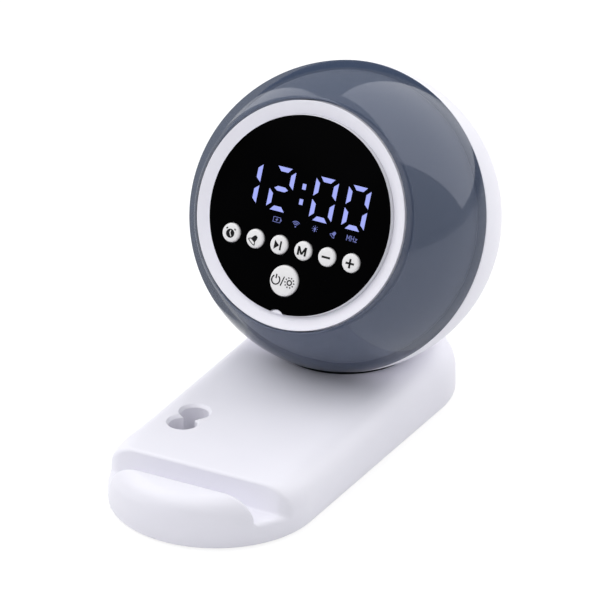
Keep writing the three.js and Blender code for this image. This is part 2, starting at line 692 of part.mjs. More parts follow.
// Face: bezel, lens, buttons, digits and the board behind them
function buildFace() {
  place(ball, "bezel_ring", bezelRing(), WHITE);
  place(ball, "display_lens", displayLens(), GLOSS_BLACK);
  BUTTONS.forEach(({ name, x, y, radius }) => {
    place(ball, name, button(radius), WHITE).position.set(x, y, 0);
  });
  const { width, low, high } = DIGIT_BLOCK;
  const digits = block(-width / 2, width / 2, low, high, BOARD_FRONT + FIT, LENS_BACK - FIT);
  place(ball, "digit_block", digits, GLOSS_BLACK);
  place(ball, "display_board", displayBoard(), BOARD_GREEN);
  const boardScrew = screw(SCREWS.board, BOARD_BACK - FIT, BOARD_SCREW_TIP);
  placeEach(ball, "board_screw", boardScrew, STEEL, boardScrewPlaces);
}

// Mid frame: plate, wall behind the bezel's skirt, and stand-offs for the main board
function midFrame() {
  const plateRadius = TONGUE.inner - 1;
  const wallFront = BEZEL_SKIRT_BACK - FIT;
  const plate = turned(
    [
      [0, FRAME_BACK],
      [plateRadius, FRAME_BACK],
      [plateRadius, FRAME_FRONT],
      [BEZEL_RADIUS, FRAME_FRONT],
      [BEZEL_RADIUS, wallFront],
      [FRAME_WALL_INNER, wallFront],
      [FRAME_WALL_INNER, FRAME_FRONT],
      [0, FRAME_FRONT],
    ],
    ROUND,
  );
  const standoffs = mainScrewPlaces.map(([x, y]) =>
    pillar(STANDOFF_RADIUS, MAIN_BOARD_FRONT + FIT, FRAME_BACK + BITE, x, y),
  );
  return cut(
    joined(plate, ...standoffs),
    ...screwHoles(SCREWS.board, 0, FRAME_FRONT - BITE, mainScrewPlaces),
    ...screwHoles(SCREWS.ball, 0, FRAME_FRONT + BITE, ballScrewPlaces),
  );
}

// Lamp: a ring board with light chips
function lampBoard() {
  const back = FRAME_FRONT + FIT;
  const front = back + LAMP.thick;
  const side = LAMP.chip / 2;
  const chip = block(
    LAMP.circle - side,
    LAMP.circle + side,
    -side,
    side,
    front - BITE,
    front + LAMP.chipHeight,
  );
  const chips = Array.from({ length: LAMP.chips }, (_, index) => {
    const angle = ((index + 0.5) * 2 * Math.PI) / LAMP.chips;
    return moved(chip, new THREE.Matrix4().makeRotationZ(angle));
  });
  return joined(ring(LAMP.inner, LAMP.outer, back, front, ROUND), ...chips);
}

// Main board with its largest components on the back
function mainBoard() {
  const x = MAIN_BOARD.width / 2;
  const y = MAIN_BOARD.height / 2;
  const back = MAIN_BOARD.back;
  const components = COMPONENTS.map((sides) => block(...sides, back - COMPONENT_HEIGHT, back + BITE));
  return cut(
    joined(block(-x, x, -y, y, back, MAIN_BOARD_FRONT), ...components),
    ...screwHoles(SCREWS.board, back - BITE, MAIN_BOARD_FRONT + BITE, mainScrewPlaces),
  );
}

// Inner frame, lamp, main board and battery
function buildCore() {
  place(ball, "mid_frame", midFrame(), WHITE);
  const ballScrew = screw(SCREWS.ball, FRAME_FRONT + FIT, BALL_SCREW_TIP);
  placeEach(ball, "head_screw", ballScrew, STEEL, ballScrewPlaces);
  place(ball, "lamp_board", lampBoard(), BOARD_WHITE);
  place(ball, "main_board", mainBoard(), BOARD_GREEN);
  const mainScrew = screw(SCREWS.board, MAIN_BOARD.back - FIT, FRAME_BACK + 1);
  placeEach(ball, "main_screw", mainScrew, STEEL, mainScrewPlaces);
  const x = BATTERY.width / 2;
  const y = BATTERY.height / 2;
  place(ball, "battery", block(-x, x, -y, y, BATTERY.back, BATTERY.front), SILVER_FOIL);
  place(ball, "battery_lead", wire(BATTERY_LEAD), RED_WIRE);
  place(ball, "speaker_lead", wire(SPEAKER_LEAD), BLACK_WIRE);
}

// Speaker's frame: a flange, a sloping wall and a seat for the magnet
function speakerBasket() {
  const { flange, mouth, throat, bore, low, neck, wall } = BASKET;
  const flangeHigh = low + 1.3 * wall;
  const seat = neck + wall;
  return turned([
    [flange, low],
    [flange, flangeHigh],
    [mouth + 1.3 * wall, flangeHigh],
    [throat + 0.6 * wall, seat - 0.4 * wall],
    [throat + 0.6 * wall, seat],
    [bore, seat],
    [bore, neck],
    [throat, neck],
    [mouth, flangeHigh],
    [mouth, low],
  ]);
}

// Speaker's cone with its dust cap
function speakerCone() {
  const { mouth, throat, mouthZ, throatZ, capZ, wall } = CONE;
  return turned([
    [0, capZ],
    [0.6 * throat, capZ + 0.4],
    [throat, throatZ],
    [mouth, mouthZ],
    [mouth, mouthZ + 0.8 * wall],
    [throat, throatZ + 1.2 * wall],
    [0, capZ + wall],
  ]);
}

// Speaker's surround: a half roll between the cone and the basket
function speakerSurround() {
  const { inner, outer, foot, crest, wall } = SURROUND;
  const middle = (inner + outer) / 2;
  const shoulder = foot + 0.7 * (crest - foot);
  return turned([
    [inner, foot],
    [inner + 0.3, shoulder],
    [middle, crest],
    [outer - 0.3, shoulder],
    [outer, foot],
    [outer - wall, foot],
    [middle, crest + 1.2 * wall],
    [inner + wall, foot],
  ]);
}

// Speaker facing the rear grille
function buildSpeaker() {
  place(ball, "speaker_gasket", ring(GASKET.inner, GASKET.outer, GASKET.low, GASKET.high), GREY_FOAM);
  place(ball, "speaker_basket", speakerBasket(), STEEL);
  place(ball, "speaker_magnet", ring(MAGNET.inner, MAGNET.outer, MAGNET.low, MAGNET.high), FERRITE);
  const { pole, tip, plate, high } = YOKE;
  const backPlate = pillar(MAGNET.outer, plate, high, 0, 0, MEDIUM);
  const yoke = joined(pillar(pole, tip, high, 0, 0, MEDIUM), backPlate);
  place(ball, "speaker_yoke", yoke, STEEL);
  place(ball, "voice_coil", ring(COIL.inner, COIL.outer, COIL.low, COIL.high), COPPER);
  place(ball, "speaker_cone", speakerCone(), PAPER);
  place(ball, "speaker_surround", speakerSurround(), RUBBER);
}

buildStand();
buildSwivel();
buildPort();
buildShells();
buildFace();
buildCore();
buildSpeaker();

export default clock;
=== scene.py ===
"""Dresses a ball-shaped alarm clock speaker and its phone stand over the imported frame.

Every piece is modelled in millimetres, in the frame of the stand or of the tilted ball, and is brought
to metres in its place at the end.
"""

import json
import logging
import math
from dataclasses import dataclass, field
from enum import Enum
from functools import partial
from typing import Callable, Iterable, Optional, Union

import bmesh
import bpy
from mathutils import Matrix, Vector


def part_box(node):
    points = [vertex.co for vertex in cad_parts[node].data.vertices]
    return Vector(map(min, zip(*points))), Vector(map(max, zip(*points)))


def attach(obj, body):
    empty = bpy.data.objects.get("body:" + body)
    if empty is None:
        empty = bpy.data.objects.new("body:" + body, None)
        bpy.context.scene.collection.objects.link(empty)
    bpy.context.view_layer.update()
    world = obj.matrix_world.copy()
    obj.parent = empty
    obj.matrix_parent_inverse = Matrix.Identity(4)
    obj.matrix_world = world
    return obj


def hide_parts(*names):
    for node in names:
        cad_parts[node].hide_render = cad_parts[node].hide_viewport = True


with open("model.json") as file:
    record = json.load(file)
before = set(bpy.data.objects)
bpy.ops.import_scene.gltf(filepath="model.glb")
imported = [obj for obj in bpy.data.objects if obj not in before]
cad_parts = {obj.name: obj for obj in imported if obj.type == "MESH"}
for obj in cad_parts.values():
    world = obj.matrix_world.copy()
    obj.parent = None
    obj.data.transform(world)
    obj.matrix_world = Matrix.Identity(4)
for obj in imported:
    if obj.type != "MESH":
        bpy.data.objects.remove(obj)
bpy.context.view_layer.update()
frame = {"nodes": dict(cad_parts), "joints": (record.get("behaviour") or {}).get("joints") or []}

LOG = logging.getLogger("clock")
# One millimetre in metres.
MM = 0.001
# Gap between pieces that sit in one another, in mm.
FIT = 0.3
# Reach of a cutter that passes through everything, in mm.
FAR = 60.0
# How far a cutter or a joined shape goes past the face that it meets, in mm.
OVERLAP = 0.5
# Height of a cutter's foot below the table, in mm.
BELOW = -1.0
# Points closer than the first are merged, and heights closer than the second are the same, in mm.
MERGE = 1e-4
SAME = 1e-5
# A quarter of a turn.
QUARTER = math.pi / 2
# Signs of the corners of a square, in order round it.
FOUR_CORNERS = ((1, 1), (-1, 1), (-1, -1), (1, -1))
Point = tuple[float, float]
Spot = tuple[float, float, float]
Colour = tuple[float, float, float, float]


def linear(hex_colour: str) -> Colour:
    """Turns an sRGB hex colour into linear light.

    Args:
        hex_colour: Six hex digits after a hash sign.

    Returns:
        Red, green, blue and an alpha of one.
    """
    parts = []
    for start in (1, 3, 5):
        value = int(hex_colour[start : start + 2], 16) / 255
        parts.append(value / 12.92 if value <= 0.04045 else ((value + 0.055) / 1.055) ** 2.4)
    return parts[0], parts[1], parts[2], 1.0


def add_node(
    tree: bpy.types.NodeTree,
    kind: str,
    settings: Optional[dict] = None,
    links: Optional[dict] = None,
) -> bpy.types.Node:
    """Adds one node with its settings and links.

    Args:
        tree: The node tree that takes it.
        kind: Blender's name of the node type.
        settings: Attribute or input names, or input numbers, with their values.
        links: Input names or numbers, with the output sockets that feed them.

    Returns:
        The new node.
    """
    node = tree.nodes.new(kind)
    for key, value in (settings or {}).items():
        if isinstance(key, str) and hasattr(node, key):
            setattr(node, key, value)
        else:
            node.inputs[key].default_value = value
    for key, output in (links or {}).items():
        tree.links.new(output, node.inputs[key])
    return node


@dataclass(frozen=True)
class Finish:
    """One real material: its colour, gloss and the fine relief that its making leaves.

    Attributes:
        name: Common name of the material, with how its surface was made.
        slot: The record's material slot that it belongs to; it is not used.
        colour: Its main colour in sRGB.
        tone: The colour that its slow clouds turn to.
        roughness: Middle value of its roughness.
        unevenness: How far the roughness strays either way.
        grain_mm: Size of its grain.
        relief_mm: Height of its grain.
        cloud_mm: Size of its colour clouds.
        metallic: One for bare metal.
        sockets: Values set on the shader's own sockets.
    """

    name: str
    slot: str
    colour: str
    tone: str
    roughness: float
    unevenness: float
    grain_mm: float
    relief_mm: float
    cloud_mm: float = 18.0
    metallic: float = 0.0
    sockets: tuple[tuple[str, Union[float, Colour]], ...] = ()

    def material(self) -> bpy.types.Material:
        """Makes the material on first use.

        Returns:
            The material, the same one on each call.
        """
        made = bpy.data.materials.get(self.name)
        if made is None:
            made = bpy.data.materials.new(self.name)
            made.use_nodes = True
            made.node_tree.nodes.clear()
            self.wire(made.node_tree)
        return made

    def wire(self, tree: bpy.types.NodeTree) -> None:
        """Wires slow colour clouds, uneven gloss and grain into one shader.

        Args:
            tree: The empty node tree of the material.
        """
        place = add_node(tree, "ShaderNodeTexCoord").outputs["Object"]
        grain = add_node(
            tree,
            "ShaderNodeTexNoise",
            {"Scale": 1 / (self.grain_mm * MM), "Detail": 3.0},
            {"Vector": place},
        )
        cloud = add_node(
            tree,
            "ShaderNodeTexNoise",
            {"Scale": 1 / (self.cloud_mm * MM), "Detail": 2.0},
            {"Vector": place},
        )
        paint = add_node(
            tree,
            "ShaderNodeMix",
            {"data_type": "RGBA", 6: linear(self.colour), 7: linear(self.tone)},
            {0: cloud.outputs["Fac"]},
        )
        gloss = add_node(
            tree,
            "ShaderNodeMapRange",
            {"To Min": self.roughness - self.unevenness, "To Max": self.roughness + self.unevenness},
            {"Value": grain.outputs["Fac"]},
        )
        relief = add_node(
            tree, "ShaderNodeBump", {"Distance": self.relief_mm * MM}, {"Height": grain.outputs["Fac"]}
        )
        shader = add_node(
            tree,
            "ShaderNodeBsdfPrincipled",
            {"Metallic": self.metallic, **dict(self.sockets)},
            {
                "Base Color": paint.outputs[2],
                "Roughness": gloss.outputs["Result"],
                "Normal": relief.outputs["Normal"],
            },
        )
        add_node(tree, "ShaderNodeOutputMaterial", links={"Surface": shader.outputs["BSDF"]})


@dataclass(frozen=True)
class GlowingFinish(Finish):
    """A display part that gives its own light, a little cloudy as behind a diffusing film.

    Attributes:
        glow: Main colour of its light in sRGB.
        glow_tone: The colour that the light's clouds turn to.
    """

    glow: str = "#FFFFFF"
    glow_tone: str = "#F0F0F0"

    def wire(self, tree: bpy.types.NodeTree) -> None:
        """Wires the clouded glow over a dark base.

        Args:
            tree: The empty node tree of the material.
        """
        place = add_node(tree, "ShaderNodeTexCoord").outputs["Object"]
        cloud = add_node(
            tree,
            "ShaderNodeTexNoise",
            {"Scale": 1 / (self.cloud_mm * MM), "Detail": 1.0},
            {"Vector": place},
        )
        light = add_node(
            tree,
            "ShaderNodeMix",
            {"data_type": "RGBA", 6: linear(self.glow), 7: linear(self.glow_tone)},
            {0: cloud.outputs["Fac"]},
        )
        shader = add_node(
            tree,
            "ShaderNodeBsdfPrincipled",
            {"Base Color": linear(self.colour), "Roughness": self.roughness, "Emission Strength": 1.0},
            {"Emission Color": light.outputs[2]},
        )
        add_node(tree, "ShaderNodeOutputMaterial", links={"Surface": shader.outputs["BSDF"]})


@dataclass(frozen=True)
class PolishedWall(Finish):
    """A polished wall whose mirror image fades at its rim, but less so at its foot over the white deck.

    Attributes:
        face_gloss: Specular level where the wall faces the eye.
        rim_gloss: Specular level where it turns away.
        foot_gloss: Specular level where its foot turns away.
        foot_low_mm: Height up to which the foot reaches.
        foot_high_mm: Height from which the rim begins.
        fade_start: Slant at which the gloss starts to fall, from 0 face-on to 1 edge-on.
        fade_end: Slant at which it has fallen.
    """

    face_gloss: float = 0.68
    rim_gloss: float = 0.0
    foot_gloss: float = 0.45
    foot_low_mm: float = 18.0
    foot_high_mm: float = 40.0
    fade_start: float = 0.61
    fade_end: float = 0.7

    def wire(self, tree: bpy.types.NodeTree) -> None:
        """Wires the plain finish, then lets its gloss fall where the wall turns away.

        Args:
            tree: The empty node tree of the material.
        """
        super().wire(tree)
        place = add_node(tree, "ShaderNodeTexCoord").outputs["Object"]
        height = add_node(tree, "ShaderNodeSeparateXYZ", links={"Vector": place})
        rim = add_node(
            tree,
            "ShaderNodeMapRange",
            {
                "From Min": self.foot_low_mm * MM,
                "From Max": self.foot_high_mm * MM,
                "To Min": self.foot_gloss,
                "To Max": self.rim_gloss,
            },
            {"Value": height.outputs["Z"]},
        )
        slant = add_node(tree, "ShaderNodeLayerWeight")
        gloss = add_node(
            tree,
            "ShaderNodeMapRange",
            {"From Min": self.fade_start, "From Max": self.fade_end, "To Min": self.face_gloss},
            {"Value": slant.outputs["Facing"], "To Max": rim.outputs["Result"]},
        )
        shader = next(node for node in tree.nodes if node.type == "BSDF_PRINCIPLED")
        tree.links.new(gloss.outputs["Result"], shader.inputs["Specular IOR Level"])


# Moulded ABS from a fine spark-eroded tool: soft white with a dim sheen. The real grain of 0.05 mm is too
# fine to show, so it is drawn at 0.5 mm.
WHITE_ABS = Finish("moulded white ABS", "white_plastic", "#EEEDF4", "#EAE9F1", 0.42, 0.05, 0.5, 0.004)
# Polished ABS of the keycaps, glossier than the stand and a little warmer.
CAP_ABS = Finish("polished cap ABS", "white_plastic", "#EDECEC", "#E9E8E8", 0.3, 0.04, 0.6, 0.002)
# Tinted polycarbonate, polished: smoky blue-grey that lets the pale inside show faintly.
SMOKED_SHADE = PolishedWall(
    "polished smoked polycarbonate",
    "smoked_plastic",
    "#3F4B61",
    "#3B475D",
    0.05,
    0.015,
    6.0,
    0.004,
    sockets=(("Alpha", 0.72), ("IOR", 1.48), ("Specular Tint", linear("#EEF0FF"))),
)
# Inner face of the same wall: the outer face carries the tint, so this one is nearly clear.
CLEAR_INSIDE = Finish(
    "inner face of smoked polycarbonate",
    "smoked_plastic",
    "#56637C",
    "#525F78",
    0.3,
    0.05,
    6.0,
    0.004,
    sockets=(("Alpha", 0.08), ("IOR", 1.4)),
)
# Milky acrylic behind the shade: an even white that spreads the light of the chips.
MILKY_ACRYLIC = Finish("milky acrylic", "milky_plastic", "#DFE5F3", "#DAE0EF", 0.5, 0.05, 0.8, 0.003)
# Black acrylic with an anti-glare coat: deep black with almost no mirror image.
BLACK_LENS = Finish(
    "coated black acrylic",
    "black_lens",
    "#030303",
    "#050506",
    0.16,
    0.03,
    0.6,
    0.001,
    sockets=(("Specular IOR Level", 0.004),),
)
# Cut edge of the same acrylic sheet, frosted pale grey by the cutter.
FROSTED_EDGE = Finish("frosted acrylic edge", "black_lens", "#D8D8DD", "#D1D1D6", 0.6, 0.06, 0.4, 0.006)
# Moulded silicone and rubber: dull black with a fine dusty grain.
SOFT_RUBBER = Finish("moulded black rubber", "black_rubber", "#17171A", "#1D1D20", 0.75, 0.08, 0.5, 0.01)
# Printed ink on the caps: dense near-black, slightly glossy.
BLACK_INK = Finish(
    "black printing ink",
    "black_acetal",
    "#08080A",
    "#0D0D0F",
    0.5,
    0.05,
    0.3,
    0.002,
    sockets=(("Specular IOR Level", 0.2),),
)
# Light of the display behind its film: an even lavender blue.
LIT_BAR = GlowingFinish(
    "lit display bar",
    "black_lens",
    "#08080C",
    "#08080C",
    0.4,
    0.0,
    1.0,
    0.0,
    cloud_mm=3.0,
    glow="#A6B0FC",
    glow_tone="#9EA8F4",
)
# The small icons behind the same film: the same blue, dimmer.
LIT_ICON = GlowingFinish(
    "lit display icon",
    "black_lens",
    "#08080C",
    "#08080C",
    0.4,
    0.0,
    1.0,
    0.0,
    cloud_mm=2.0,
    glow="#6E76BA",
    glow_tone="#626AAA",
)
# Zinc-plated steel: pale grey metal with a faint brushed unevenness.
PLATED_STEEL = Finish(
    "zinc-plated steel", "steel", "#A9ABAF", "#9DA0A5", 0.32, 0.08, 0.4, 0.003, metallic=1.0
)
# Acetal of the swivel: waxy black.
BLACK_ACETAL = Finish("turned black acetal", "black_acetal", "#1C1C1F", "#202023", 0.42, 0.06, 0.6, 0.003)
# Solder-masked glass laminate: green lacquer over a faint weave of glass.
GREEN_BOARD = Finish("solder-masked laminate", "circuit_board", "#1F5A38", "#1A4F31", 0.4, 0.08, 0.7, 0.008)
# The lamp's board under white lacquer, which throws the light forward.
WHITE_BOARD = Finish("white lamp laminate", "circuit_board", "#E6E6E0", "#DEDED8", 0.45, 0.06, 0.7, 0.006)
# Sintered ferrite: dull charcoal with open pores.
SINTERED_FERRITE = Finish("sintered ferrite", "ferrite", "#35353A", "#2D2D31", 0.6, 0.1, 0.5, 0.015)
# Foil pouch of the cell: crinkled silver film.
POUCH_FOIL = Finish(
    "laminated pouch foil", "battery_pouch", "#B7BAC0", "#A9ACB3", 0.3, 0.08, 1.6, 0.03, metallic=0.7
)
# Lead insulation: soft PVC with a satin skin.
RED_LEAD = Finish("red PVC insulation", "lead", "#A02222", "#952020", 0.5, 0.06, 0.4, 0.004)
# Cellular foam of the speaker's gasket: dull grey, open cells.
GREY_FOAM = Finish("cellular foam", "foam", "#4B4C50", "#434448", 0.95, 0.04, 0.5, 0.05)
# Pressed paper of the cone: matt black with short fibres.
PRESSED_PAPER = Finish("pressed paper", "paper", "#242426", "#2B2B2E", 0.9, 0.06, 0.5, 0.03)
# Enamelled copper of the coil: reddish metal in fine close turns.
COPPER_WIRE = Finish(
    "enamelled copper", "copper", "#B87347", "#AB683E", 0.35, 0.06, 0.3, 0.01, metallic=1.0
)


def arc(centre: Point, radius: float, start: float, end: float, steps: int) -> list[Point]:
    """Lists points on a round arc of a profile.

    Args:
        centre: Middle of the arc.
        radius: Its radius in mm.
        start: First angle in degrees, from the profile's first axis.
        end: Last angle in degrees.
        steps: How many straight steps the arc has.

    Returns:
        The points, both ends among them.
    """
    angles = [math.radians(start + (end - start) * step / steps) for step in range(steps + 1)]
    return [(centre[0] + radius * math.cos(a), centre[1] + radius * math.sin(a)) for a in angles]


def turned(profile: list[Point], steps: int = 96, closed: bool = True) -> bmesh.types.BMesh:
    """Turns a profile of radius and height about the upright axis.

    Args:
        profile: Points of radius and height in mm.
        steps: How many steps make the round.
        closed: Whether the last point joins the first.

    Returns:
        The turned mesh, with faces outwards.
    """
    mesh = bmesh.new()
    corners = [mesh.verts.new((radius, 0.0, height)) for radius, height in profile]
    pairs = list(zip(corners, corners[1:]))
    if closed:
        pairs.append((corners[-1], corners[0]))
    edges = [mesh.edges.new(pair) for pair in pairs]
    bmesh.ops.spin(
        mesh,
        geom=corners + edges,
        cent=(0, 0, 0),
        axis=(0, 0, 1),
        angle=math.tau,
        steps=steps,
        use_merge=True,
    )
    bmesh.ops.remove_doubles(mesh, verts=mesh.verts, dist=MERGE)
    bmesh.ops.dissolve_degenerate(mesh, dist=SAME, edges=mesh.edges)
    bmesh.ops.recalc_face_normals(mesh, faces=mesh.faces)
    return mesh


def block(low: Spot, high: Spot) -> bmesh.types.BMesh:
    """Makes a box between two corners.

    Args:
        low: Lowest corner in mm.
        high: Highest corner in mm.

    Returns:
        The box.
    """
    mesh = bmesh.new()
    bmesh.ops.create_cube(mesh, size=1.0)
    bmesh.ops.scale(mesh, vec=Vector(high) - Vector(low), verts=mesh.verts)
    bmesh.ops.translate(mesh, vec=(Vector(high) + Vector(low)) / 2, verts=mesh.verts)
    return mesh


def pillar(
    radius: float, low: float, high: float, spot: Point = (0.0, 0.0), steps: int = 32
) -> bmesh.types.BMesh:
    """Makes an upright round pillar, used as a cutter or a post.

    Args:
        radius: Its radius in mm.
        low: Height of its foot.
        high: Height of its top.
        spot: Where it stands.
        steps: How many sides it has.

    Returns:
        The pillar.
    """
    mesh = bmesh.new()
    bmesh.ops.create_cone(
        mesh, cap_ends=True, segments=steps, radius1=radius, radius2=radius, depth=high - low
    )
    bmesh.ops.translate(mesh, vec=(spot[0], spot[1], (low + high) / 2), verts=mesh.verts)
    return mesh


def long_round(
    radius: float, lower_centre: float, upper_centre: float, low: float, high: float, steps: int = 96
) -> bmesh.types.BMesh:
    """Makes an upright prism whose outline is long with round ends.

    Args:
        radius: Radius of the ends in mm.
        lower_centre: Where the first end's centre lies along Y.
        upper_centre: Where the other end's centre lies along Y.
        low: Height of its foot.
        high: Height of its top.
        steps: How many sides the two ends have together.

    Returns:
        The prism.
    """
    mesh = bmesh.new()
    bmesh.ops.create_circle(mesh, cap_ends=True, segments=steps, radius=radius)
    bmesh.ops.rotate(mesh, matrix=Matrix.Rotation(math.pi / steps, 3, "Z"), verts=mesh.verts)
    for vert in mesh.verts:
        vert.co.y += upper_centre if vert.co.y > 0 else lower_centre
        vert.co.z = low
    risen = bmesh.ops.extrude_face_region(mesh, geom=list(mesh.faces))
    tops = [item for item in risen["geom"] if isinstance(item, bmesh.types.BMVert)]
    bmesh.ops.translate(mesh, vec=(0, 0, high - low), verts=tops)
    bmesh.ops.recalc_face_normals(mesh, faces=mesh.faces)
    return mesh


def level_edges(mesh: bmesh.types.BMesh, height: float) -> list[bmesh.types.BMEdge]:
    """Lists the edges of a mesh that lie level at a height in mm."""
    return [edge for edge in mesh.edges if all(abs(vert.co.z - height) < SAME for vert in edge.verts)]


def round_edges(
    mesh: bmesh.types.BMesh,
    edges: list[bmesh.types.BMEdge],
    width: float,
    steps: int,
    clamped: bool = False,
) -> None:
    """Rounds chosen edges of a mesh.

    Args:
        mesh: The mesh to change.
        edges: Which of its edges.
        width: Width of the rounding in mm.
        steps: Its segments.
        clamped: Whether it stops before it would cross another edge's rounding.
    """
    bmesh.ops.bevel(
        mesh,
        geom=edges,
        offset=width,
        offset_type="OFFSET",
        segments=steps,
        profile=0.5,
        affect="EDGES",
        material=-1,
        clamp_overlap=clamped,
    )


def soften(
    mesh: bmesh.types.BMesh, width: float, steps: int = 3, least_angle: float = 40.0
) -> bmesh.types.BMesh:
    """Rounds every edge that is sharper than an angle.

    Args:
        mesh: The mesh to change.
        width: Width of the rounding in mm.
        steps: Its segments.
        least_angle: Degrees between faces from which an edge counts as sharp.

    Returns:
        The same mesh.
    """
    limit = math.radians(least_angle)
    sharp = [edge for edge in mesh.edges if edge.is_manifold and edge.calc_face_angle() > limit]
    round_edges(mesh, sharp, width, steps, clamped=True)
    bmesh.ops.remove_doubles(mesh, verts=mesh.verts, dist=MERGE)
    return mesh


def moved(mesh: bmesh.types.BMesh, matrix: Matrix) -> bmesh.types.BMesh:
    """Moves a mesh by a matrix and hands it back."""
    bmesh.ops.transform(mesh, matrix=matrix, verts=mesh.verts)
    return mesh


def stored(name: str, mesh: bmesh.types.BMesh) -> bpy.types.Mesh:
    """Writes a mesh to Blender's data under a name.

    Args:
        name: The data's name.
        mesh: The mesh, which is used up.

    Returns:
        The data.
    """
    data = bpy.data.meshes.new(name)
    mesh.to_mesh(data)
    mesh.free()
    return data


def linked(name: str, data: bpy.types.ID) -> bpy.types.Object:
    """Makes an object of some data and puts it in the scene.

    Args:
        name: The object's name.
        data: Its mesh, lamp or camera.

    Returns:
        The object.
    """
    thing = bpy.data.objects.new(name, data)
    bpy.context.scene.collection.objects.link(thing)
    return thing


def merged(*meshes: bmesh.types.BMesh) -> bmesh.types.BMesh:
    """Puts separate closed shapes into one mesh.

    Args:
        meshes: The shapes, which are used up.

    Returns:
        The mesh that holds them all.
    """
    whole = bmesh.new()
    for mesh in meshes:
        data = stored("part", mesh)
        whole.from_mesh(data)
        bpy.data.meshes.remove(data)
    return whole


def carve(
    body: bmesh.types.BMesh, tools: Iterable[bmesh.types.BMesh], operation: str = "DIFFERENCE"
) -> bmesh.types.BMesh:
    """Cuts tools out of a body, or joins them to it, with exact Booleans.

    Args:
        body: The closed mesh to change, which is used up.
        tools: Closed meshes, which are used up.
        operation: Blender's name of the Boolean.

    Returns:
        The changed mesh.
    """
    work = linked("carving", stored("carving", body))
    helpers = [linked("carving", stored("carving", tool)) for tool in tools]
    for helper in helpers:
        cut = work.modifiers.new("cut", "BOOLEAN")
        cut.operation = operation
        cut.solver = "EXACT"
        cut.object = helper
    graph = bpy.context.evaluated_depsgraph_get()
    carved = bmesh.new()
    carved.from_object(work, graph)
    for thing in [work, *helpers]:
        data = thing.data
        bpy.data.objects.remove(thing)
        bpy.data.meshes.remove(data)
    bmesh.ops.remove_doubles(carved, verts=carved.verts, dist=MERGE)
    return carved


def settle(
    name: str,
    mesh: bmesh.types.BMesh,
    finishes: list[Finish],
    body: str,
    nodes: Iterable[str] = (),
    place: Optional[Matrix] = None,
    sharp_angle: float = 38.0,
) -> bpy.types.Object:
    """Makes a finished piece of a mesh, in its place and on its body.

    Args:
        name: Name of the piece.
        mesh: The mesh in mm, which is used up.
        finishes: Finish of each material index.
        body: The CAD body that it rides on.
        nodes: The CAD nodes that it stands for.
        place: Where the mesh goes, in mm.
        sharp_angle: Degrees between faces from which an edge stays sharp.

    Returns:
        The piece's object.
    """
    moved(mesh, Matrix.Scale(MM, 4) @ (place or Matrix.Identity(4)))
    data = stored(name, mesh)
    data.shade_smooth()
    data.set_sharp_from_angle(angle=math.radians(sharp_angle))
    for finish in finishes:
        data.materials.append(finish.material())
    piece = linked(name, data)
    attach(piece, body)
    if nodes:
        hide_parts(*nodes)
    data.calc_loop_triangles()
    LOG.info("%s: %d triangles on %s", name, len(data.loop_triangles), body)
    return piece


def head_place() -> Matrix:
    """Finds the ball's own frame from the swivel and the stroke of the keys.

    Returns:
        The matrix in mm that takes the ball's frame, with Z out of the display, to the world.
    """
    joints = {joint["name"]: joint for joint in frame["joints"]}
    centre = Vector(joints["head_swivel"]["pos_m"]) / MM
    outward = -Vector(joints["alarm_press"]["axis"]).normalized()
    right = Vector((1.0, 0.0, 0.0))
    upward = outward.cross(right)
    turn = Matrix((right, upward, outward)).transposed().to_4x4()
    return Matrix.Translation(centre) @ turn


HEAD = head_place()
BALL_CENTRE = HEAD.translation.copy()


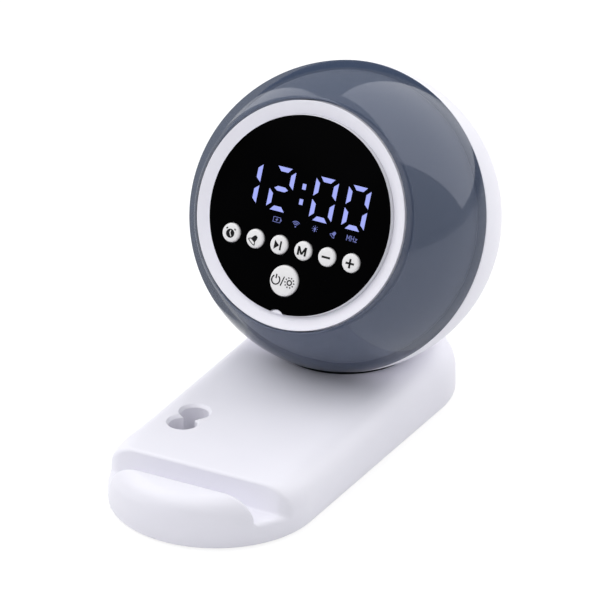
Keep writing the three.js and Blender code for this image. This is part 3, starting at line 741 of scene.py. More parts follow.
@dataclass
class Stand:
    """The long phone stand: deck with groove and lip, cable hole, well, cover, screws and feet."""

    half_width: float = 34.4
    rounding: float = 10.2
    skin: float = 2.4
    groove_back: float = BALL_CENTRE.y - 97.1
    groove_front: float = BALL_CENTRE.y - 107.5
    groove_floor: float = 8.0
    groove_lean: float = 1.1
    softness: float = 1.3
    floor_edge: float = 2.0
    wall_rounding: float = 8.5
    lip_rounding: float = 6.0
    lip_end_rounding: float = 8.2
    lip_crest: float = 1.6
    lip_foot: float = 2.4
    wall_corner: float = 3.6
    lip_corner: float = 0.4
    cable_spots: tuple[Point, ...] = ((-19.0, BALL_CENTRE.y - 65.0), (-19.0, BALL_CENTRE.y - 73.0))
    cable_radius: float = 4.5
    cable_rim: float = 0.85
    cable_depth: float = 1.0
    # Where the rim's slope bends: shares of its width and of its depth.
    cable_slope: Point = (0.8, 0.15)
    lower_edge: float = 0.7
    well_radius: float = 22.2
    well_floor: float = 11.6
    well_rim: float = 0.5
    liner_radius: float = 21.9
    liner_inner: float = 13.0
    liner_edge: float = 0.5
    post_hole: float = 6.3
    boss_radius: float = 3.0
    bore_top: float = 11.0
    cover_thick: float = 2.0
    cover_edge: float = 0.3
    screw_seat: float = 1.2
    screw_head: float = 2.8
    # Slope of the head's edge, inwards and upwards.
    screw_slope: Point = (0.7, 0.4)
    screw_head_deep: float = 0.9
    screw_shank: float = 1.4
    # Radius and length of the tip.
    screw_tip: Point = (0.2, 0.8)
    # Half the length and half the width of each slot of the cross.
    cross_half: Point = (1.5, 0.3)
    cross_deep: float = 0.5
    screw_spots: tuple[Point, ...] = tuple(
        (x, BALL_CENTRE.y + y) for x, y in ((25.0, -86.0), (-25.0, -86.0), (26.0, 12.0), (-26.0, 12.0))
    )
    foot_radius: float = 5.0
    foot_recess: float = 1.8
    foot_edge: float = 0.5
    # Points of the dished underside: inwards from the foot's edge, and height.
    foot_dish: tuple[Point, ...] = ((1.6, 0.2), (1.0, 0.0))
    foot_hollow: float = 0.25
    foot_spots: tuple[Point, ...] = tuple(
        (x, BALL_CENTRE.y + y) for x, y in ((17.0, -104.0), (-17.0, -104.0), (19.0, 18.0), (-19.0, 18.0))
    )
    columns: int = 88
    rear_rows: int = 30
    deck_rows: int = 36
    wall_rows: int = 8
    turn_rows: int = 7
    floor_rows: int = 6
    lip_rows: int = 24
    low: float = field(init=False)
    deck: float = field(init=False)
    front_centre: float = field(init=False)
    rear_centre: float = field(init=False)

    def __post_init__(self) -> None:
        """Takes the stand's heights and end centres from its CAD node."""
        lowest, highest = (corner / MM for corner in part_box("stand_shell"))
        self.low = lowest.z
        self.deck = highest.z
        self.front_centre = lowest.y + self.half_width
        self.rear_centre = highest.y - self.half_width

    def build(self) -> None:
        """Builds and dresses every piece of the stand."""
        settle("stand_shell_soft", self.shell(), [WHITE_ABS], "stand", ["stand_shell"], sharp_angle=32.0)
        settle("stand_cover_soft", self.cover(), [WHITE_ABS], "stand", ["stand_cover"])
        settle("well_liner_soft", self.liner(), [SOFT_RUBBER], "stand", ["well_liner"])
        for number, spot in enumerate(self.screw_spots, 1):
            place = Matrix.Translation((*spot, 0))
            name = f"cover_screw_{number}"
            settle(f"{name}_cross", self.screw(), [PLATED_STEEL], "stand", [name], place)
        for number, spot in enumerate(self.foot_spots, 1):
            place = Matrix.Translation((*spot, 0))
            name = f"foot_{number}"
            settle(f"{name}_soft", self.foot(), [SOFT_RUBBER], "stand", [name], place)

    def half_at(self, y: float) -> float:
        """Gives half the stand's width at a place along it."""
        middle = min(max(y, self.front_centre), self.rear_centre)
        return math.sqrt(max(self.half_width**2 - (y - middle) ** 2, 0.0))

    def end_distance(self, x: float, y: float) -> float:
        """Measures how far a point lies inside the stand's outline.

        Args:
            x: Place across the stand in mm.
            y: Place along it.

        Returns:
            The distance to the outline in mm.
        """
        middle = min(max(y, self.front_centre), self.rear_centre)
        return self.half_width - math.hypot(x, y - middle)

    def round_off(self, distance: float, radius: float) -> float:
        """Gives how far a quarter-round edge has dropped at a distance from its foot."""
        inside = min(max(radius - distance, 0.0), radius)
        return radius - math.sqrt(max(radius * radius - inside * inside, 0.0))

    def deck_height(self, x: float, y: float) -> float:
        """Gives the height of the rounded deck and lip.

        The deck's edge gets tighter towards the groove, and the lip's gets rounder towards its ends.

        Args:
            x: Place across the stand in mm.
            y: Place along it.

        Returns:
            The height in mm, before the groove is sunk.
        """
        start = self.front_centre + self.half_width / 2
        share = min(max((start - y) / (start - self.groove_back), 0.0), 1.0)
        radius = self.rounding + (self.wall_rounding - self.rounding) * share
        if y < (self.groove_back + self.groove_front) / 2:
            aside = min(abs(x) / self.half_at(self.groove_front), 1.0)
            radius = self.lip_rounding + (self.lip_end_rounding - self.lip_rounding) * aside**2
        return self.deck - self.round_off(self.end_distance(x, y), radius)

    def floor_height(self, x: float, y: float) -> float:
        """Gives the height of the groove's floor, which is rounded off at its open ends."""
        return self.groove_floor - self.round_off(self.end_distance(x, y), self.floor_edge)

    def wall(self, share: float, at_lip: bool) -> tuple[float, float]:
        """Finds a groove wall at a place across the stand; its ends turn away from the groove.

        Args:
            share: Place across the stand, from -1 to 1.
            at_lip: Whether it is the lip's wall or the deck's.

        Returns:
            Its place along the stand and its height.
        """
        spot = self.groove_front if at_lip else self.groove_back
        corner = self.lip_corner if at_lip else self.wall_corner
        half = self.half_at(spot)
        bend = self.round_off(half - abs(share) * half, corner)
        y = spot - bend if at_lip else spot + bend
        x = self.half_at(y) * share
        return y, max(self.deck_height(x, y) - self.floor_height(x, y), 0.0)

    def wall_top(self, share: float, at_lip: bool, turn: float) -> Spot:
        """Gives a point on the rounding above a groove wall.

        Args:
            share: Place across the stand, from -1 to 1.
            at_lip: Whether it is the lip's wall or the deck's.
            turn: How far the rounding has turned down to the wall, in radians.

        Returns:
            The point in mm.
        """
        y, height = self.wall(share, at_lip)
        soft = min(self.lip_crest if at_lip else self.softness, height / 2)
        gap = soft * (1 - math.sin(turn))
        away = y - gap if at_lip else y + gap
        x = self.half_at(away) * share
        return x, away, self.deck_height(x, away) - self.round_off(gap, soft)

    def wall_foot(self, share: float, at_lip: bool, turn: float) -> Spot:
        """Gives a point on the rounding between a groove wall and the floor.

        Args:
            share: Place across the stand, from -1 to 1.
            at_lip: Whether it is the lip's wall or the deck's.
            turn: How far the rounding has turned from the wall to the floor, in radians.

        Returns:
            The point in mm.
        """
        y, height = self.wall(share, at_lip)
        soft = min(self.lip_foot if at_lip else self.softness, height / 2)
        lean = 0.0 if at_lip else self.groove_lean * min(height / (self.deck - self.groove_floor), 1.0)
        gap = soft * (1 - math.cos(turn)) + lean
        away = y + gap if at_lip else y - gap
        x = self.half_at(away) * share
        return x, away, self.floor_height(x, away) + soft * (1 - math.sin(turn))

    def deck_spot(self, share: float, y: float) -> Spot:
        """Gives a point on the deck from its share of the width and its place along the stand."""
        x = self.half_at(y) * share
        return x, y, self.deck_height(x, y)

    def before_groove(self, share: float, part: float) -> Spot:
        """Gives a point on the deck between its front centre and the groove.

        Args:
            share: Place across the stand, from -1 to 1.
            part: How much of the way to the groove, from 0 to 1.

        Returns:
            The point in mm.
        """
        edge = self.wall_top(share, False, 0.0)[1]
        return self.deck_spot(share, self.front_centre + (edge - self.front_centre) * part)

    def in_groove(self, share: float, part: float) -> Spot:
        """Gives a point on the groove's floor.

        Args:
            share: Place across the stand, from -1 to 1.
            part: How much of the way from the deck's wall to the lip's, from 0 to 1.

        Returns:
            The point in mm.
        """
        back = self.wall_foot(share, False, QUARTER)[1]
        front = self.wall_foot(share, True, QUARTER)[1]
        y = back + (front - back) * part
        x = self.half_at(y) * share
        return x, y, self.floor_height(x, y)

    def on_lip(self, share: float, part: float) -> Spot:
        """Gives a point on the lip.

        Args:
            share: Place across the stand, from -1 to 1.
            part: How much of the turn from the lip's crest to the front tip, from 0 to 1.

        Returns:
            The point in mm.
        """
        crest = self.wall_top(share, True, 0.0)[1]
        first = math.asin((self.front_centre - crest) / self.half_width)
        turn = first + (QUARTER - first) * part
        return self.deck_spot(share, self.front_centre - self.half_width * math.sin(turn))

    def rows(self) -> list[Callable[[float], Spot]]:
        """Lists the rows of the deck's surface from its rear end to its front tip.

        Returns:
            A function for each row, which gives its point for a place across the stand from -1 to 1.
        """
        turns = [step / self.turn_rows * QUARTER for step in range(self.turn_rows + 1)]
        straight = self.front_centre - self.rear_centre
        listed: list[Callable[[float], Spot]] = []
        for step in range(self.rear_rows, 0, -1):
            reach = self.half_width * math.sin(QUARTER * step / self.rear_rows)
            listed.append(partial(self.deck_spot, y=self.rear_centre + reach))
        for step in range(self.deck_rows + 1):
            y = self.rear_centre + straight * (step / self.deck_rows)
            listed.append(partial(self.deck_spot, y=y))
        for step in range(1, self.wall_rows):
            listed.append(partial(self.before_groove, part=step / self.wall_rows))
        listed += [partial(self.wall_top, at_lip=False, turn=turn) for turn in turns]
        listed += [partial(self.wall_foot, at_lip=False, turn=turn) for turn in turns]
        for step in range(1, self.floor_rows):
            listed.append(partial(self.in_groove, part=step / self.floor_rows))
        listed += [partial(self.wall_foot, at_lip=True, turn=turn) for turn in reversed(turns)]
        listed += [partial(self.wall_top, at_lip=True, turn=turn) for turn in reversed(turns)]
        for step in range(1, self.lip_rows + 1):
            listed.append(partial(self.on_lip, part=step / self.lip_rows))
        return listed

    def skin_solid(self) -> bmesh.types.BMesh:
        """Shapes a grid into the deck, then draws its rim down to the lower edge.

        Returns:
            The closed solid of the stand, still full inside.
        """
        rows = self.rows()
        mesh = bmesh.new()
        bmesh.ops.create_grid(mesh, x_segments=self.columns, y_segments=len(rows) - 1, size=1.0)
        for vert in mesh.verts:
            row = rows[round((1 - vert.co.y) / 2 * (len(rows) - 1))]
            vert.co = row(math.sin(vert.co.x * QUARTER))
        bmesh.ops.remove_doubles(mesh, verts=mesh.verts, dist=MERGE)
        rim = [edge for edge in mesh.edges if edge.is_boundary]
        drawn = bmesh.ops.extrude_edge_only(mesh, edges=rim)
        for item in drawn["geom"]:
            if isinstance(item, bmesh.types.BMVert):
                item.co.z = self.low
        bmesh.ops.holes_fill(mesh, edges=[edge for edge in mesh.edges if edge.is_boundary])
        bmesh.ops.recalc_face_normals(mesh, faces=mesh.faces)
        round_edges(mesh, level_edges(mesh, self.low), self.lower_edge, 3)
        return mesh

    def hollow(self) -> bmesh.types.BMesh:
        """Makes the space inside the stand, clear of the well, groove, cable tube and bosses.

        Returns:
            The closed solid to take out.
        """
        on_cover = self.low + self.cover_thick + FIT
        ceiling = self.deck - self.skin
        radius = self.half_width - self.skin
        space = long_round(radius, self.front_centre, self.rear_centre, self.low - OVERLAP, ceiling)
        round_edges(space, level_edges(space, ceiling), self.rounding - self.skin, 6)
        cup = pillar(self.well_radius + self.skin, self.well_floor - self.skin, FAR, (0, BALL_CENTRE.y), 64)
        tray = block(
            (-FAR, self.groove_front - self.skin, self.groove_floor - self.skin),
            (FAR, self.groove_back + self.skin, FAR),
        )
        tubes = [pillar(self.cable_radius + self.skin, on_cover, FAR, spot) for spot in self.cable_spots]
        bosses = [pillar(self.boss_radius, on_cover, FAR, spot) for spot in self.screw_spots]
        return carve(space, [cup, tray, *tubes, *bosses])

    def shell(self) -> bmesh.types.BMesh:
        """Cuts the hollow, the cable hole, the well and the screw bores out of the deck's solid.

        Returns:
            The stand's shell.
        """
        out, down = self.cable_slope
        lobe_profile = [
            (0.0, BELOW),
            (self.cable_radius, BELOW),
            (self.cable_radius, self.deck - self.cable_depth),
            (self.cable_radius + out * self.cable_rim, self.deck - down * self.cable_depth),
            (self.cable_radius + self.cable_rim, self.deck),
            (self.cable_radius + self.cable_rim, FAR),
            (0.0, FAR),
        ]
        lobes = [
            moved(turned(lobe_profile, 64, closed=False), Matrix.Translation((*spot, 0)))
            for spot in self.cable_spots
        ]
        rim_radius = self.well_radius + self.well_rim
        well_profile = [
            (0.0, self.well_floor),
            (self.well_radius, self.well_floor),
            *arc((rim_radius, self.deck - self.well_rim), self.well_rim, 180, 90, 6),
            (rim_radius, FAR),
            (0.0, FAR),
        ]
        middle = Matrix.Translation((0, BALL_CENTRE.y, 0))
        well = moved(turned(well_profile, 128, closed=False), middle)
        bores = [pillar(self.screw_shank + FIT, 0, self.bore_top, spot, 16) for spot in self.screw_spots]
        post = pillar(self.post_hole, BELOW, FAR, (0, BALL_CENTRE.y), 48)
        return carve(self.skin_solid(), [self.hollow(), *lobes, well, post, *bores])

    def cover(self) -> bmesh.types.BMesh:
        """Makes the bottom cover with its screw seats and foot recesses.

        Returns:
            The cover.
        """
        radius = self.half_width - self.skin - FIT
        top = self.low + self.cover_thick
        plate = long_round(radius, self.front_centre, self.rear_centre, self.low, top)
        soften(plate, self.cover_edge, 2)
        seat_top = self.low + self.screw_seat
        seats = [pillar(self.screw_head + FIT, 0, seat_top, spot) for spot in self.screw_spots]
        bores = [pillar(self.screw_shank + FIT, 0, FAR, spot, 16) for spot in self.screw_spots]
        lobes = [pillar(self.cable_radius, BELOW, FAR, spot, 48) for spot in self.cable_spots]
        recess_radius = self.foot_radius + FIT
        recesses = [pillar(recess_radius, 0, self.foot_recess, spot, 48) for spot in self.foot_spots]
        return carve(plate, [*seats, *bores, *lobes, *recesses])

    def liner(self) -> bmesh.types.BMesh:
        """Makes the soft ring under the ball.

        Returns:
            The ring, in its place.
        """
        lowest, highest = (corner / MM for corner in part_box("well_liner"))
        outer, inner = self.liner_radius, self.liner_inner
        ring = turned([(inner, lowest.z), (outer, lowest.z), (outer, highest.z), (inner, highest.z)], 96)
        soften(ring, self.liner_edge)
        return moved(ring, Matrix.Translation((0, BALL_CENTRE.y, 0)))

    def screw(self) -> bmesh.types.BMesh:
        """Makes one cover screw with a rounded head and a cross recess.

        Returns:
            The screw, at the origin of its spot.
        """
        lowest, highest = (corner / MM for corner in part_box("cover_screw_1"))
        seat = self.low + self.screw_head_deep
        inward, upward = self.screw_slope
        tip_radius, tip_length = self.screw_tip
        profile = [
            (0.0, lowest.z),
            (self.screw_head - inward, lowest.z),
            (self.screw_head, lowest.z + upward),
            (self.screw_head, seat),
            (self.screw_shank, seat),
            (self.screw_shank, highest.z - tip_length),
            (tip_radius, highest.z),
            (0.0, highest.z),
        ]
        long, thin = self.cross_half
        slot_top = lowest.z + self.cross_deep
        slots = [block((-x, -y, 0.0), (x, y, slot_top)) for x, y in ((long, thin), (thin, long))]
        return carve(turned(profile, 32, closed=False), slots)

    def foot(self) -> bmesh.types.BMesh:
        """Makes one rubber foot with a dished underside.

        Returns:
            The foot, at the origin of its spot.
        """
        lowest, highest = (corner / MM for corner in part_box("foot_1"))
        edge = self.foot_edge
        profile = [
            (0.0, lowest.z + self.foot_hollow),
            *[(self.foot_radius - inward, lowest.z + rise) for inward, rise in self.foot_dish],
            *arc((self.foot_radius - edge, lowest.z + edge), edge, -90, 0, 4),
            (self.foot_radius, highest.z),
            (0.0, highest.z),
        ]
        return turned(profile, 48, closed=False)


def latitudes(radius: float, start: float, end: float, steps: int) -> list[Point]:
    """Lists points on a circle about the origin, between two angles in radians from the equator."""
    return arc((0.0, 0.0), radius, math.degrees(start), math.degrees(end), steps)


@dataclass
class Ball:
    """The ball's outer pieces: rear shell with port, grille, smoked shade and the diffuser behind it."""

    radius: float = 50.0
    shell_inner: float = 47.5
    shade_inner: float = 47.0
    tongue_inner: float = 44.9
    tongue_outer: float = 45.7
    tongue_back: float = -6.0
    tongue_front: float = 3.0
    shell_edge: float = 0.3
    bezel_opening: float = 37.15
    shade_softness: float = 0.9
    # Points of the soft edge round the bezel: share of the softness inwards, and rise.
    shade_edge: tuple[Point, ...] = ((0.35, 0.26), (0.65, 0.2), (0.88, -0.1), (1.0, -0.6))
    diffuser_outer: float = 46.8
    diffuser_inner: float = 45.95
    diffuser_back: float = 0.35
    grille_radius: float = 20.0
    grille_wall: float = 1.8
    grille_skirt: float = 1.4
    grille_pitch: float = 2.8
    grille_hole: float = 0.75
    grille_border: float = 2.2
    grille_edge: float = 0.25
    speaker_seat: float = -39.8
    speaker_seat_radius: float = 23.5
    post_radius: float = 3.0
    post_spot: float = 22.6
    post_back: float = -36.0
    post_front: float = 3.3
    post_bore_back: float = -12.0
    post_bore_front: float = 5.0
    screw_bore: float = 1.3
    hub_radius: float = 12.0
    hub_back: float = -47.6
    hub_seat: float = -44.0
    hub_bore: float = 6.3
    hub_bore_front: float = -41.7
    hub_screw_back: float = -47.1
    hub_screw_spot: float = 8.5
    port_angle: float = math.radians(40.0)
    port_back: float = 38.0
    socket_width: float = 8.9
    socket_height: float = 3.2
    socket_back: float = 42.2
    socket_mouth: float = 49.5
    socket_wall: float = 0.3
    socket_floor: float = 0.8
    socket_edge: float = 0.15
    # Half the width and half the thickness of the blade in the socket.
    blade_half: Point = (3.3, 0.35)
    blade_foot: float = 0.5
    blade_sunk: float = 1.5
    blade_edge: float = 0.12

    def build(self) -> None:
        """Builds and dresses every outer piece of the ball."""
        settle("rear_shell_soft", self.rear_shell(), [WHITE_ABS], "head", ["rear_shell"], HEAD)
        settle("rear_grille_fine", self.grille(), [WHITE_ABS], "head", ["rear_grille"], HEAD)
        finishes = [SMOKED_SHADE, CLEAR_INSIDE]
        settle("front_shade_polished", self.shade(), finishes, "head", ["front_shade"], HEAD)
        settle("inner_diffuser_smooth", self.diffuser(), [MILKY_ACRYLIC], "head", ["inner_diffuser"], HEAD)
        place = HEAD @ self.port_place()
        settle("usb_socket_shell", self.socket(), [PLATED_STEEL], "head", ["usb_socket"], place)

    def port_place(self) -> Matrix:
        """Gives the USB port's frame in the ball's own.

        Returns:
            The matrix, with Z out of the ball.
        """
        across = Vector((-1.0, 0.0, 0.0))
        outward = Vector((0.0, math.sin(self.port_angle), -math.cos(self.port_angle)))
        return Matrix((across, outward.cross(across), outward)).transposed().to_4x4()

    def slot(self, margin: float, low: float, high: float) -> bmesh.types.BMesh:
        """Makes a flat round-ended prism round the USB socket.

        Args:
            margin: How much it is wider than the socket all round, in mm.
            low: Height of its foot in the port's frame.
            high: Height of its top.

        Returns:
            The prism, long along X.
        """
        end = self.socket_height / 2
        straight = self.socket_width / 2 - end
        prism = long_round(end + margin, -straight, straight, low, high, 32)
        return moved(prism, Matrix.Rotation(QUARTER, 4, "Z"))

    def socket(self) -> bmesh.types.BMesh:
        """Makes the socket's drawn steel shell and the blade in it.

        Returns:
            The socket, in the port's frame.
        """
        can = carve(
            soften(self.slot(0.0, self.socket_back, self.socket_mouth), self.socket_edge, 2),
            [self.slot(-self.socket_wall, self.socket_back + self.socket_floor, FAR)],
        )
        x, y = self.blade_half
        low, high = self.socket_back + self.blade_foot, self.socket_mouth - self.blade_sunk
        blade = block((-x, -y, low), (x, y, high))
        return merged(can, soften(blade, self.blade_edge, 2))

    def rear_shell(self) -> bmesh.types.BMesh:
        """Turns the rear half of the ball and cuts its openings.

        Returns:
            The shell, in the ball's frame.
        """
        opening = self.grille_radius + FIT
        parting = -FIT / 2
        pole_side = -math.acos(self.speaker_seat_radius / self.shell_inner)
        cap_side = -math.acos(opening / self.radius)
        profile = [
            *latitudes(self.radius, cap_side, math.asin(parting / self.radius), 40),
            (self.tongue_outer, parting),
            (self.tongue_outer, self.tongue_front),
            (self.tongue_inner, self.tongue_front),
            (self.tongue_inner, self.tongue_back),
            *latitudes(self.shell_inner, math.asin(self.tongue_back / self.shell_inner), pole_side, 16),
            (self.speaker_seat_radius, self.speaker_seat),
            (opening, self.speaker_seat),
        ]
        cup = soften(turned(profile, 160), self.shell_edge)
        spots = [(x * self.post_spot, y * self.post_spot) for x, y in FOUR_CORNERS]
        posts = [pillar(self.post_radius, self.post_back, self.post_front, spot, 24) for spot in spots]
        upright = HEAD.to_3x3().transposed().to_4x4()
        hub = moved(pillar(self.hub_radius, self.hub_back, self.hub_seat, steps=48), upright)
        whole = carve(cup, [*posts, hub], "UNION")
        bore = moved(pillar(self.hub_bore, -FAR, self.hub_bore_front, steps=48), upright)
        bores = [
            pillar(self.screw_bore, self.post_bore_back, self.post_bore_front, spot, 16) for spot in spots
        ]
        hub_bores = [
            moved(pillar(self.screw_bore, self.hub_screw_back, self.hub_bore_front, (x, 0.0), 16), upright)
            for x in (self.hub_screw_spot, -self.hub_screw_spot)
        ]
        port = moved(self.slot(FIT, self.port_back, FAR), self.port_place())
        return carve(whole, [bore, port, *bores, *hub_bores])

    def grille(self) -> bmesh.types.BMesh:
        """Turns the speaker's cap and pierces it in a honeycomb, finer than its CAD node's.

        Returns:
            The grille, in the ball's frame.
        """
        skirt = self.grille_radius - self.grille_skirt
        inner = self.radius - self.grille_wall
        skirt_end = self.speaker_seat - FIT
        profile = [
            *latitudes(self.radius, -QUARTER, -math.acos(self.grille_radius / self.radius), 14),
            (self.grille_radius, skirt_end),
            (skirt, skirt_end),
            *latitudes(inner, -math.acos(skirt / inner), -QUARTER, 10),
        ]
        cap = soften(turned(profile, 128, closed=False), self.grille_edge)
        holes = []
        reach = skirt - self.grille_border
        row_pitch = self.grille_pitch * math.sin(math.pi / 3)
        rows = math.ceil(reach / row_pitch)
        for row in range(-rows, rows + 1):
            for column in range(-2 * rows, 2 * rows + 1):
                x = (column + row / 2) * self.grille_pitch
                y = row * row_pitch
                if math.hypot(x, y) < reach:
                    holes.append(pillar(self.grille_hole, -FAR, skirt_end, (x, y), 14))
        return carve(cap, [merged(*holes)])

    def shade(self) -> bmesh.types.BMesh:
        """Turns the smoked front shade with its soft edge round the bezel.

        Returns:
            The shade, in the ball's frame.
        """
        edge = self.bezel_opening + self.shade_softness
        parting = FIT / 2
        rim_height = math.sqrt(self.radius**2 - edge**2)
        mouth = math.acos(self.bezel_opening / self.shade_inner)
        soft = self.shade_softness
        rounding = [(edge - part * soft, rim_height + rise) for part, rise in self.shade_edge]
        profile = [
            *latitudes(self.radius, math.asin(parting / self.radius), math.acos(edge / self.radius), 40),
            *rounding,
            *latitudes(self.shade_inner, mouth, math.asin(parting / self.shade_inner), 24),
        ]
        wall = turned(profile, 192)
        mouth_front = rounding[-1][1]
        for face in wall.faces:
            middle = face.calc_center_median()
            within = math.hypot(middle.x, middle.y) < edge + OVERLAP
            inside = within and middle.length < self.radius - OVERLAP
            inside = inside or middle.length < self.shade_inner + FIT
            face.material_index = 1 if inside and middle.z < mouth_front else 0
        return wall

    def diffuser(self) -> bmesh.types.BMesh:
        """Turns the milky bowl between the lamp chips and the shade.

        Returns:
            The bowl, in the ball's frame.
        """
        mouth = math.acos(self.bezel_opening / self.diffuser_inner)
        back = self.diffuser_back
        profile = [
            *latitudes(self.diffuser_outer, math.asin(back / self.diffuser_outer), mouth, 20),
            *latitudes(self.diffuser_inner, mouth, math.asin(back / self.diffuser_inner), 20),
        ]
        return turned(profile, 160)


class Stencil:
    """Draws flat marks as thin raised plates, in mm about their own middle."""

    def __init__(self) -> None:
        """Starts an empty sheet."""
        self.mesh = bmesh.new()

    def outline(self, points: Iterable[Point]) -> "Stencil":
        """Adds one filled outline from a few points."""
        self.mesh.faces.new([self.mesh.verts.new((x, y, 0.0)) for x, y in points])
        return self

    def bar(self, start: Point, end: Point, width: float) -> "Stencil":
        """Adds a straight bar.

        Args:
            start: One end's middle.
            end: The other end's middle.
            width: Its width in mm.

        Returns:
            This stencil.
        """
        along = Vector(end) - Vector(start)
        aside = Vector((-along.y, along.x)).normalized() * (width / 2)
        corners = [Vector(start) - aside, Vector(end) - aside, Vector(end) + aside, Vector(start) + aside]
        return self.outline([(corner.x, corner.y) for corner in corners])

    def disc(self, middle: Point, radius: float, steps: int = 28) -> "Stencil":
        """Adds a filled disc."""
        return self.outline(arc(middle, radius, 0, 360 - 360 / steps, steps - 1))

    def ring(
        self,
        middle: Point,
        radius: float,
        width: float,
        start: float = 0.0,
        end: float = 360.0,
        steps: int = 28,
    ) -> "Stencil":
        """Adds a ring or part of one, as short bars.

        Args:
            middle: Its centre.
            radius: Radius at the middle of its width.
            width: Its width in mm.
            start: First angle in degrees.
            end: Last angle in degrees.
            steps: How many bars it has.

        Returns:
            This stencil.
        """
        inner = arc(middle, radius - width / 2, start, end, steps)
        outer = arc(middle, radius + width / 2, start, end, steps)
        for step in range(steps):
            self.outline([inner[step], outer[step], outer[step + 1], inner[step + 1]])
        return self

    def rays(self, middle: Point, near: float, far: float, width: float, count: int) -> "Stencil":
        """Adds bars that point away from a middle, evenly round it.

        Args:
            middle: Where they point away from.
            near: Distance of their inner ends in mm.
            far: Distance of their outer ends.
            width: Their width.
            count: How many there are.

        Returns:
            This stencil.
        """
        for number in range(count):
            angle = math.tau * number / count
            way = (math.cos(angle), math.sin(angle))
            start = (middle[0] + near * way[0], middle[1] + near * way[1])
            end = (middle[0] + far * way[0], middle[1] + far * way[1])
            self.bar(start, end, width)
        return self

    def turn(self, degrees: float) -> "Stencil":
        """Turns all that is drawn so far about the middle.

        Args:
            degrees: How far, counter-clockwise.

        Returns:
            This stencil.
        """
        matrix = Matrix.Rotation(math.radians(degrees), 3, "Z")
        bmesh.ops.rotate(self.mesh, matrix=matrix, verts=self.mesh.verts)
        return self

    def shift(self, spot: Point) -> "Stencil":
        """Moves all that is drawn so far."""
        bmesh.ops.translate(self.mesh, vec=(*spot, 0.0), verts=self.mesh.verts)
        return self

    def raised(self, low: float, high: float) -> bmesh.types.BMesh:
        """Gives the marks their thickness.

        Args:
            low: Height of their underside in mm.
            high: Height of their top.

        Returns:
            The closed mesh of the marks.
        """
        bmesh.ops.recalc_face_normals(self.mesh, faces=self.mesh.faces)
        for face in self.mesh.faces:
            face.normal_update()
            if face.normal.z > 0:
                face.normal_flip()
        bmesh.ops.translate(self.mesh, vec=(0, 0, low), verts=self.mesh.verts)
        risen = bmesh.ops.extrude_face_region(self.mesh, geom=list(self.mesh.faces), use_keep_orig=True)
        tops = [item for item in risen["geom"] if isinstance(item, bmesh.types.BMVert)]
        bmesh.ops.translate(self.mesh, vec=(0, 0, high - low), verts=tops)
        bmesh.ops.recalc_face_normals(self.mesh, faces=self.mesh.faces)
        return self.mesh


class Key(Enum):
    """The seven keys of the face, by the word in their node's name."""

    ALARM = "alarm"
    BELL = "bell"
    PLAY = "play"
    MODE = "mode"
    MINUS = "minus"
    PLUS = "plus"
    POWER = "power"


class Bar(Enum):
    """The seven bars of a digit."""

    TOP = "top"
    MIDDLE = "middle"
    BOTTOM = "bottom"
    UPPER_LEFT = "upper left"
    UPPER_RIGHT = "upper right"
    LOWER_LEFT = "lower left"
    LOWER_RIGHT = "lower right"


DIGIT_BARS: dict[str, tuple[Bar, ...]] = {
    "0": (Bar.TOP, Bar.BOTTOM, Bar.UPPER_LEFT, Bar.UPPER_RIGHT, Bar.LOWER_LEFT, Bar.LOWER_RIGHT),
    "1": (Bar.UPPER_RIGHT, Bar.LOWER_RIGHT),
    "2": (Bar.TOP, Bar.UPPER_RIGHT, Bar.MIDDLE, Bar.LOWER_LEFT, Bar.BOTTOM),
}


